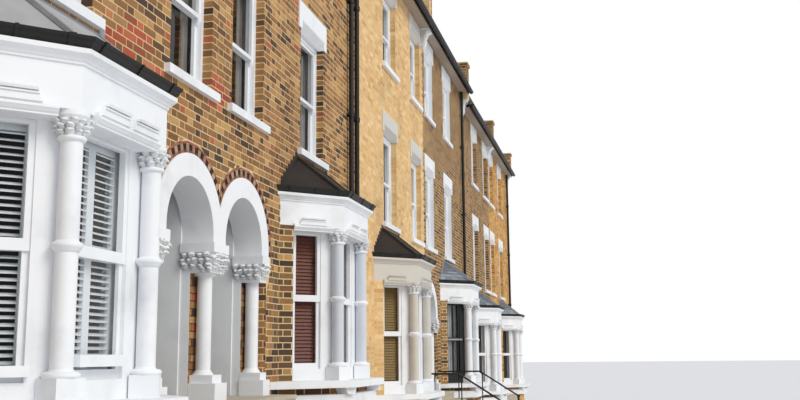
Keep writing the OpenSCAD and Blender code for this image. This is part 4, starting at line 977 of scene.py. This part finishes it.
def leaves(roots, outs, height, wide, curl, lobes=3.0, thick=0.42, rows=9, around=6):
    """Closed leaf surfaces, as (points, faces). roots and outs are n x 3 arrays: where a
    leaf starts and which way it faces, level. A leaf's centre line starts almost upright and
    turns by curl radians over its length; its half width is
    wide * sin^0.7 * (1 + 0.28 cos(lobes)). Each leaf has its own size and leans a little."""
    s = np.linspace(0, 1, rows)
    turn = 0.15 + curl * s ** 2.2
    step, middle = height * 1.25 / (rows - 1), (turn[1:] + turn[:-1]) / 2
    up_by, out_by = (np.concatenate([[0], np.cumsum(share(middle) * step)])
                     for share in (np.cos, np.sin))
    half = wide * np.sin(math.pi * (0.10 + 0.86 * s)) ** 0.7 * (
        1 + 0.28 * np.cos(2 * math.pi * lobes * s))
    half = np.maximum(half, wide * 0.04)
    t = np.linspace(0, 2 * math.pi, around, endpoint=False)
    across = half[:, None] * np.cos(t)[None, :]
    lift = thick * half[:, None] * np.sin(t)[None, :] + 0.12 * across ** 2 / wide
    o = out_by[:, None] + lift * np.cos(turn)[:, None]
    u = up_by[:, None] - lift * np.sin(turn)[:, None]
    size = rng.uniform(0.85, 1.15, len(roots))[:, None, None, None]
    lean = rng.uniform(-0.3, 0.3, len(roots))[:, None]
    outs = outs / np.linalg.norm(outs, axis=1, keepdims=True)
    level = np.cross(outs, Z)
    sides = np.cos(lean) * level + np.sin(lean) * Z
    rises = np.cos(lean) * Z - np.sin(lean) * level
    points = roots[:, None, None] + size * (
        o[None, ..., None] * outs[:, None, None] + across[None, ..., None] * sides[:, None, None]
        + u[None, ..., None] * rises[:, None, None])
    index = np.arange(rows * around).reshape(rows, around)
    ahead = np.roll(index, -1, 1)
    quads = np.stack([index[:-1], index[1:], ahead[1:], ahead[:-1]], -1).reshape(-1, 4)
    quads = np.concatenate([quads, fan(index[0]), fan(index[-1])[:, [0, 3, 2, 1]]])
    faces = (np.arange(len(roots))[:, None, None] * rows * around + quads).reshape(-1, 4)
    return points.reshape(-1, 3), faces


COLUMN_X, COLUMN_IN, COLUMN_R = 0.552, 0.088, 0.0725
CAP_FOOT = FRIEZE - 0.04 - 0.14
axes = np.array([[x + way * COLUMN_X, FACE_Y - BAY_OUT + COLUMN_IN, z + CAP_FOOT]
                 for x, z, side in BAYS for way in (-1, 1)])


def around_axes(axes, radius, level, count, shift):
    """Roots and facings of leaves set evenly round each axis."""
    angle = (np.arange(count) + shift) * 2 * math.pi / count
    outs = np.stack([np.cos(angle), np.sin(angle), np.zeros(count)], 1)
    roots = axes[:, None] + radius * outs[None] + np.array([0, 0, level])
    return roots.reshape(-1, 3), np.tile(outs, (len(axes), 1))


# Tiers of leaves: how far out, how high and how many, the shift of the first one, and then
# a leaf's height, half width, curl and lobes.
BAY_TIERS = ((0.004, 0.012, 9, 0.0, (0.056, 0.028, 3.0, 3.3)),
             (0.010, 0.046, 10, 0.5, (0.058, 0.029, 3.1, 3.6)),
             (0.018, 0.082, 10, 0.0, (0.054, 0.030, 3.2, 3.4)))
parts = [leaves(*around_axes(axes, COLUMN_R + out, level, count, shift), *leaf)
         for out, level, count, shift, leaf in BAY_TIERS]
piece("bay_capital_leaves", *join(parts), carving, "painted_stucco", smooth=True)


def row_of_leaves(base, run, level, stand=0.0, more=0):
    """Roots and facings of leaves in a straight row, about LEAF_PITCH apart. A run is its
    two ends and the way it faces, in plan; the row stands out from it."""
    start, end, out = (np.array([*point, 0.0]) for point in run)
    count = max(2, round(math.dist(start, end) / LEAF_PITCH) + more)
    t = (np.arange(count) + 0.5)[:, None] / count
    return base + level * Z + start + stand * out + t * (end - start), np.tile(out, (count, 1))


# Tiers of leaves: how high, how far out and how many more than usual, and then a leaf's
# height, half width and curl. The last one is for the neck of the shared column.
PORCH_TIERS = ((1.288, 0.0, 0, (0.080, 0.040, 2.7)), (1.340, 0.008, 1, (0.086, 0.043, 2.9)),
               (1.400, 0.018, 0, (0.074, 0.043, 3.1)))
NECK_TIER = (CAPITAL_LOW + 0.008, 0.0, 0, (0.062, 0.034, 2.5))
parts = []
LEAF_PITCH = 0.078
for x, z in PAIRS:
    runs = [((-NEAR, 0), (NEAR, 0), (0, -1))]
    corners, ways = [(-NEAR, 0), (NEAR, 0)], [(-1, -1), (1, -1)]
    for side in (-1, 1):
        runs += [((side * NEAR, 0), (side * NEAR, 0.33), (side, 0)),
                 ((side * FAR, 0.33), (side * FAR, 0), (-side, 0)),
                 ((side * FAR, 0), (side * REBATE_X, 0), (0, -1))]
        corners.append((side * FAR, 0))
        ways.append((-side, -1))
    base = np.array([x, FACE_Y, z])
    neck = runs[:1] + [((w * NEAR, 0), (w * NEAR, 0.14), (w, 0)) for w in (-1, 1)]
    for (*where, leaf), rows in [(tier, runs) for tier in PORCH_TIERS] + [(NECK_TIER, neck)]:
        parts += [leaves(*row_of_leaves(base, run, *where), *leaf) for run in rows]
    # One big leaf at each free corner.
    roots = base + np.array([(*q, 1.36) for q in corners])
    parts.append(leaves(roots, np.array([(*w, 0.0) for w in ways]), 0.09, 0.044, 3.3))
piece("porch_capital_leaves", *join(parts), carving, "painted_stucco", smooth=True)


# %% Turned beads and painted shafts
def turned(centres, profile, sides=24):
    """Closed turned solids round given centres, as (points, faces): each point (radius,
    height) of the profile, from the bottom up, is swept round as a ring, the rings are
    joined by quads, and a fan of quads closes each end."""
    angle = np.arange(sides) * 2 * math.pi / sides
    circle = np.stack([np.cos(angle), np.sin(angle), np.zeros(sides)], 1)
    radius, height = np.array(profile, float).T
    rings = radius[:, None, None] * circle + height[:, None, None] * Z
    index = np.arange(len(radius) * sides).reshape(-1, sides)
    low, high = index[:-1], index[1:]
    wall = np.stack([low, np.roll(low, -1, 1), np.roll(high, -1, 1), high], -1).reshape(-1, 4)
    faces = np.concatenate([wall, fan(index[-1]), fan(index[0])[:, [0, 3, 2, 1]]])
    return join([(centre + rings.reshape(-1, 3), faces) for centre in centres])


PORCH_COLUMN_Y = 0.137
feet = axes - (0, 0, CAP_FOOT)
# Each bead and shaft is a list of (radius, height over the porch floor).
MIDDLE_BEAD = [(0.074, 1.086), (0.082, 1.100), (0.094, 1.116), (0.101, 1.124), (0.101, 1.140),
               (0.092, 1.150), (0.074, 1.160)]
NECK_BEAD = [(0.074, 1.806), (0.088, 1.812), (0.094, 1.822), (0.094, 1.834), (0.086, 1.842),
             (0.074, 1.846)]
FOOT_BEAD = [(0.090, 0.296), (0.114, 0.300), (0.120, 0.312), (0.118, 0.326), (0.106, 0.336),
             (0.090, 0.340)]
piece("bay_column_beads", *join([turned(feet, bead) for bead in (MIDDLE_BEAD, NECK_BEAD,
                                                                 FOOT_BEAD)]),
      stucco, "painted_stucco", smooth=True)
# Coats of paint on the shafts of the second and third bays, between their beads.
COAT_R = COLUMN_R + 0.0015
for name, k, paint in (("blue_grey_shafts", 1, blue_grey), ("stone_grey_shafts", 2, stone_grey)):
    coats = [turned(feet[2 * k:2 * k + 2], [(COAT_R, low), (COAT_R, high)], 32)
             for low, high in ((0.350, 1.098), (1.150, 1.812))]
    piece(name, *join(coats), paint, "painted_stucco")
pier_axes = np.array([[x, FACE_Y + PORCH_COLUMN_Y, z + CAPITAL_LOW] for x, z in PAIRS])
piece("porch_neck_rings", *turned(pier_axes, [(0.075, -0.030), (0.106, -0.024), (0.112, -0.010),
                                              (0.108, 0.006), (0.090, 0.012)], 32),
      stucco, "painted_stucco", smooth=True)

# %% [markdown]
# ## Mouldings
# The hood moulds over the bay windows carry raised blocks with splayed ends. A moulding is
# its profile carried along a line: each step of the profile is one block, and its ends may
# lean in as it rises.
# %% Hood blocks
def moulding(profile, origin, along, left, right, lean=0.0, back=-0.004):
    """A profile of (out, up) points, from the bottom up, carried from left to right along a
    unit vector. Both ends move in by lean for each metre of height."""
    origin, along = np.asarray(origin, float), np.asarray(along, float)
    out = np.cross(along, Z)
    o, v = np.array(profile, float).T
    a, b = left + lean * (v - v[0]), right - lean * (v - v[0])
    keep = np.diff(v) > 1e-6
    lo, hi = np.arange(len(v) - 1)[keep], np.arange(1, len(v))[keep]
    u = np.stack([a[lo], b[lo], b[hi], a[hi]], 1)
    w = np.stack([v[lo], v[lo], v[hi], v[hi]], 1)
    d = np.stack([o[lo], o[lo], o[hi], o[hi]], 1)
    face = origin + u[..., None] * along + w[..., None] * Z
    return face + d[..., None] * out, face + back * out


HOOD_BLOCK_Z = FRIEZE - 0.06 + 0.085 - 0.012
# How far the blocks lie from the wall on a side face and from the middle on the front face,
# half their length, and how far their ends move in for each metre of height.
SIDE_BLOCK, FRONT_BLOCK, BLOCK_HALF, BLOCK_LEAN = 0.44, 0.215, 0.190, 0.46
hood_profile = [(0.046, 0.0), (0.046, 0.048), (0.057, 0.048), (0.057, 0.058), (0.040, 0.058),
                (0.040, 0.066), (0.066, 0.066), (0.072, 0.084)]
parts = []
for x, z, side in BAYS:
    for k, (corner, along, length) in enumerate(bay_faces(x, z)):
        centres = ([SIDE_BLOCK], [length / 2 - FRONT_BLOCK, length / 2 + FRONT_BLOCK],
                   [length - SIDE_BLOCK])[k]
        for at in centres:
            parts.append(moulding(hood_profile, corner + HOOD_BLOCK_Z * Z + along * at, along,
                                  -BLOCK_HALF, BLOCK_HALF, BLOCK_LEAN))
blocks("hood_blocks", parts, stucco, "painted_stucco")

# %% Gutter joints, hips and flashings of the bays
strap = [(0.035, -0.006), (0.068, 0.000), (0.087, 0.018), (0.095, 0.042), (0.112, 0.055),
         (0.117, 0.079)]
STRAP_IN, HIP_HALF, FLASH_STEPS, FLASH_LOW = 0.10, 0.04, 7, BAY_EAVES + 0.06
iron, leadwork, felt_strips = [], [], []
for n, (x, z, side) in enumerate(BAYS):
    for corner, along, length in bay_faces(x, z + BAY_EAVES):
        for at, half in ((STRAP_IN, 0.024), (length / 2, 0.012), (length - STRAP_IN, 0.024)):
            iron.append(moulding(strap, corner + along * at, along, -half, half))
    parts = felt_strips if n in (1, 2) else leadwork
    for way in (-1, 1):
        foot = np.array([x + way * BAY_FRONT, FACE_Y - BAY_OUT, z + BAY_EAVES + BAY_ROOF_FOOT])
        head = np.array([x + way * BAY_FRONT, FACE_Y - 0.025, z + BAY_ROOF])
        rise = (head - foot) / np.linalg.norm(head - foot)
        out, across = np.cross(X, rise), HIP_HALF * X
        quad = np.stack([foot - across, foot + across, head + across, head - across])[None]
        parts.append((quad + out * 0.012, quad - out * 0.02))
    parts.append(moulding([(0.034, -0.08), (0.012, 0.03)], (x, FACE_Y, z + BAY_ROOF), X,
                          -BAY_FRONT, BAY_FRONT))
    tread, riser = (BAY_HALF - BAY_FRONT) / FLASH_STEPS, (BAY_ROOF - FLASH_LOW) / FLASH_STEPS
    for way in (-1, 1):
        for step in range(FLASH_STEPS):
            ends = sorted([way * (BAY_HALF - tread * step), way * (BAY_HALF - tread * (step + 1))])
            low = FLASH_LOW + riser * step
            parts.append(bar((ends[0], 0.0, low), (ends[1], 0.008, low + riser + 0.075),
                             X, Z, (x, FACE_Y, z)))
blocks("bay_gutter_joints", iron, black_iron, "black_iron")
blocks("bay_roof_leadwork", leadwork, lead, "slate")
blocks("bay_roof_felt_strips", felt_strips, felt, "grey_felt")

# %% Lintel mouldings, sash horns and the first bay's sills
FRAME_W, HORN_HALF, MEETING_SHARE = 0.05, 0.0225, 0.48
fillets, horns, sills = [], [], []
for p, (x, z) in enumerate(PAIRS):
    for centre, w in FRONT_WINDOWS:
        for foot, h in STOREYS:
            at = (x + centre, FACE_Y - LINTEL_OUT, z + foot + h)
            # Two fillets run across each lintel.
            for low, high in ((0.096, 0.106), (0.118, 0.126)):
                fillets.append(bar((-w / 2 + 0.02, -0.003, low), (w / 2 - 0.02, 0.008, high),
                                   X, Z, at))
            meeting = z + foot + h * MEETING_SHARE - HORN_HALF
            for way in (-1, 1):
                u = way * (w / 2 - FRAME_W - HORN_HALF)
                horns.append(moulding([(0.010, -0.062), (0.032, -0.030), (0.035, 0.0)],
                                      (x + centre + u, FACE_Y + 0.15, meeting), X, -HORN_HALF,
                                      HORN_HALF, back=0.0))
for corner, along, width in bay_lights(*BAYS[0][:2]):
    # The front one is shorter than its light and lies higher than those at the sides.
    more, low, high = (-0.035, 0.365, 0.445) if width > 0.5 else (0.0225, 0.31, 0.38)
    sills.append(bar((-more, 0.025, low), (width + more, 0.125, high), along, Z, corner))
blocks("lintel_fillets", fillets, stucco, "painted_stucco")
blocks("sash_horns", horns, timber, "white_timber")
blocks("first_bay_sills", sills, timber, "white_timber")

# %% Slates on the bays of the last three houses
# Each house's have their own brightness.
parts, brightness = [], []
for (x, z, side), factor in zip(BAYS[3:], (1.95, 2.0, 2.6)):
    tops = np.array([[x - BAY_FRONT, FACE_Y, z + BAY_ROOF],
                     [x + BAY_FRONT, FACE_Y, z + BAY_ROOF]])
    for (start, along, length), a, b in zip(bay_faces(x, z + BAY_EAVES + BAY_ROOF_FOOT), (0, 0, 1),
                                            (0, 1, 1)):
        out = np.cross(along, tops[a] - start)
        out /= np.linalg.norm(out)
        up = np.cross(out, along)
        va = (tops[a] - start) @ up
        ua, ub = (tops[a] - start) @ along, (tops[b] - start) @ along
        limits = (lambda v, ua=ua, ub=ub, va=va, length=length:
                  (ua * v / va, length + (ub - length) * v / va))
        parts.append(courses(start, along, up, (0, length), (0, va - 0.03), ends=limits,
                             units=(0.18,), course=0.125, joint=0.003,
                             proud=(0.001, 0.002), tail=0.007))
        brightness.append(np.full((len(parts[-1][0]), 1), factor))
blocks("bay_slates", parts, slate, "slate",
       slate_tints(parts) * np.concatenate(brightness) * (0.95, 1.0, 1.03))


# %% [markdown]
# ## Party wall heads, chimneys and copings
# The party walls end over both eaves in short brick heads with oversailing caps, and each
# pair's shared wall carries a chimney stack. They are laid in courses on all four sides.
# %% Brick heads and stacks
def four_sides(low, high):
    """Courses round a brick pier between two corners, as four parts."""
    (x0, y0, z0), (x1, y1, z1) = low, high
    return [courses((x, y, z0), along, Z, (0, length), (0, z1 - z0)) for x, y, along, length in (
        (x0, y0, X, x1 - x0), (x1, y0, (0, 1, 0), y1 - y0), (x1, y1, -X, x1 - x0),
        (x0, y1, (0, -1, 0), y1 - y0))]


HEAD_TOP, CAP_H, CAP_OUT, FLAUNCH_OUT = SOFFIT + 0.845, 0.09, 0.03, 0.02
edges = [(PAIRS[0][0] - HOUSE_W, PAIRS[0][1], 0, END_T)]
for p, (x, z) in enumerate(PAIRS):
    edges.append((x, z, -PARTY_T / 2, PARTY_T / 2))
    last = p == 2
    edges.append((x + HOUSE_W, z, -END_T if last else -PARTY_T / 2, 0 if last else PARTY_T / 2))
heads, caps, tops = [], [], []
for x, z, left, right in edges:
    for y0, y1 in ((FACE_Y - EAVES_OUT, FACE_Y + WALL_T), (rear_y - WALL_T, rear_y + EAVES_OUT)):
        heads += four_sides((x + left, y0, z + SOFFIT), (x + right, y1, z + HEAD_TOP - CAP_H))
        front, rear = (CAP_OUT if y0 < 0 else 0), (CAP_OUT if y1 > 0 else 0)
        caps += four_sides((x + left - CAP_OUT, y0 - front, z + HEAD_TOP - CAP_H),
                           (x + right + CAP_OUT, y1 + rear, z + HEAD_TOP))
        tops.append(bar((left - FLAUNCH_OUT, y0 - y1, HEAD_TOP - 0.002),
                        (right + FLAUNCH_OUT, 0.0, HEAD_TOP + 0.018), X, Z, (x, y0, z)))
brickwork("party_wall_heads", heads)
blocks("head_caps", caps, stock_brick, "stock_brick", brick_tints(caps, ["brown"] * 6) * 0.7)
blocks("cap_flaunching", tops, mortar, "stock_brick")

# %% Parapets over the roof
def parapet_side(origin, along, shown):
    """Courses on one side of a parapet, over both slopes. At height v they lie between the
    parapet's sloping top and a line a given height below it."""
    def front(v):
        return (np.maximum((v - PARAPET_FOOT) / TAN, WALL_T),
                np.minimum((v - PARAPET_FOOT + shown) / TAN, RIDGE_Y))

    def rear(v):
        near, far = front(v)
        return HOUSE_D - far, HOUSE_D - near

    span = (PARAPET_FOOT - shown + WALL_T * TAN, PARAPET_FOOT + RIDGE_Y * TAN)
    return [courses(origin, along, Z, (0, HOUSE_D), span, ends=ends) for ends in (front, rear)]


sides, copings = [], []
foot = PARAPET_FOOT + WALL_T * TAN
length = (RIDGE_Y - WALL_T) / math.cos(PITCH)
for n, (x, z, left, right) in enumerate(edges):
    for way, start, y in ((1, left, FACE_Y + WALL_T), (-1, right, rear_y - WALL_T)):
        copings.append(courses((x + start, y, z + foot), (way, 0, 0), slope_up * (1, way, 1),
                               (0, right - left), (0, length),
                               units=(FLEMISH[1], right - left - (FLEMISH[1] + 2 * JOINT))))
    if n > 0:
        sides += parapet_side((x + left, rear_y, z), (0, -1, 0), PARAPET_H)
    if n < len(edges) - 1:
        step = PAIR_STEP if n in (2, 4) else 0
        sides += parapet_side((x + right, FACE_Y, z), (0, 1, 0), PARAPET_H + step)
brickwork("parapet_side_bricks", sides)
blocks("parapet_copings", copings, stock_brick, "stock_brick",
       brick_tints(copings, ["brown"] * 6) * 0.8)

# %% Chimney stacks
parts = []
STACK_CAP_H, STACK_CAP_OUT = 0.12, 0.04
for x, z in PAIRS:
    y = FACE_Y + RIDGE_Y
    for out, low, high in ((0.0, -STACK_Y * TAN, STACK_H - STACK_CAP_H),
                           (STACK_CAP_OUT, STACK_H - STACK_CAP_H, STACK_H)):
        parts += four_sides((x - STACK_X - out, y - STACK_Y - out, z + RIDGE + low),
                            (x + STACK_X + out, y + STACK_Y + out, z + RIDGE + high))
brickwork("chimney_bricks", parts)

# %% Bricks up the sides of the entrance steps
# The lowest pair's porch floor lies this high over the ground. Its flight sets the risers.
FLIGHT_H = 1.155
RISERS, TREAD_D, LANDING, TREAD_T = 7, 0.26, 0.33, 0.045
RISER_H = FLIGHT_H / RISERS
REACH = LANDING + (RISERS - 1) * TREAD_D


def step_reach(v):
    """How far the steps' brick base stands out at height v: one tread more for each riser
    below the porch floor."""
    down = np.clip(np.floor((-v - TREAD_T) / RISER_H + 1e-6), 0, RISERS - 1)
    return LANDING + down * TREAD_D


parts, risers = [], []
for x, z in PAIRS:
    for way, span, ends in ((-1, (0, REACH), lambda v: (0.0, step_reach(v))),
                            (1, (-REACH, 0), lambda v: (-step_reach(v), 0.0))):
        parts.append(courses((x + way * FLIGHT_X, FACE_Y, z), (0, way, 0), Z, span,
                             (-z, -TREAD_T), ends=ends))
    for k in range(RISERS):
        foot = -z if k == RISERS - 1 else -(k + 1) * RISER_H
        risers.append(bar((-FLIGHT_X, -0.002, foot), (FLIGHT_X, 0.006, -k * RISER_H - TREAD_T),
                          X, Z, (x, FACE_Y - LANDING - k * TREAD_D, z)))
brickwork("step_side_bricks", parts)
blocks("stone_risers", risers, york_stone, "buff_stone")
print("triangles in all:", sum(totals.values()), "largest",
      max(totals.items(), key=lambda item: item[1]))

# %% Last update of the scene
bpy.context.view_layer.update()
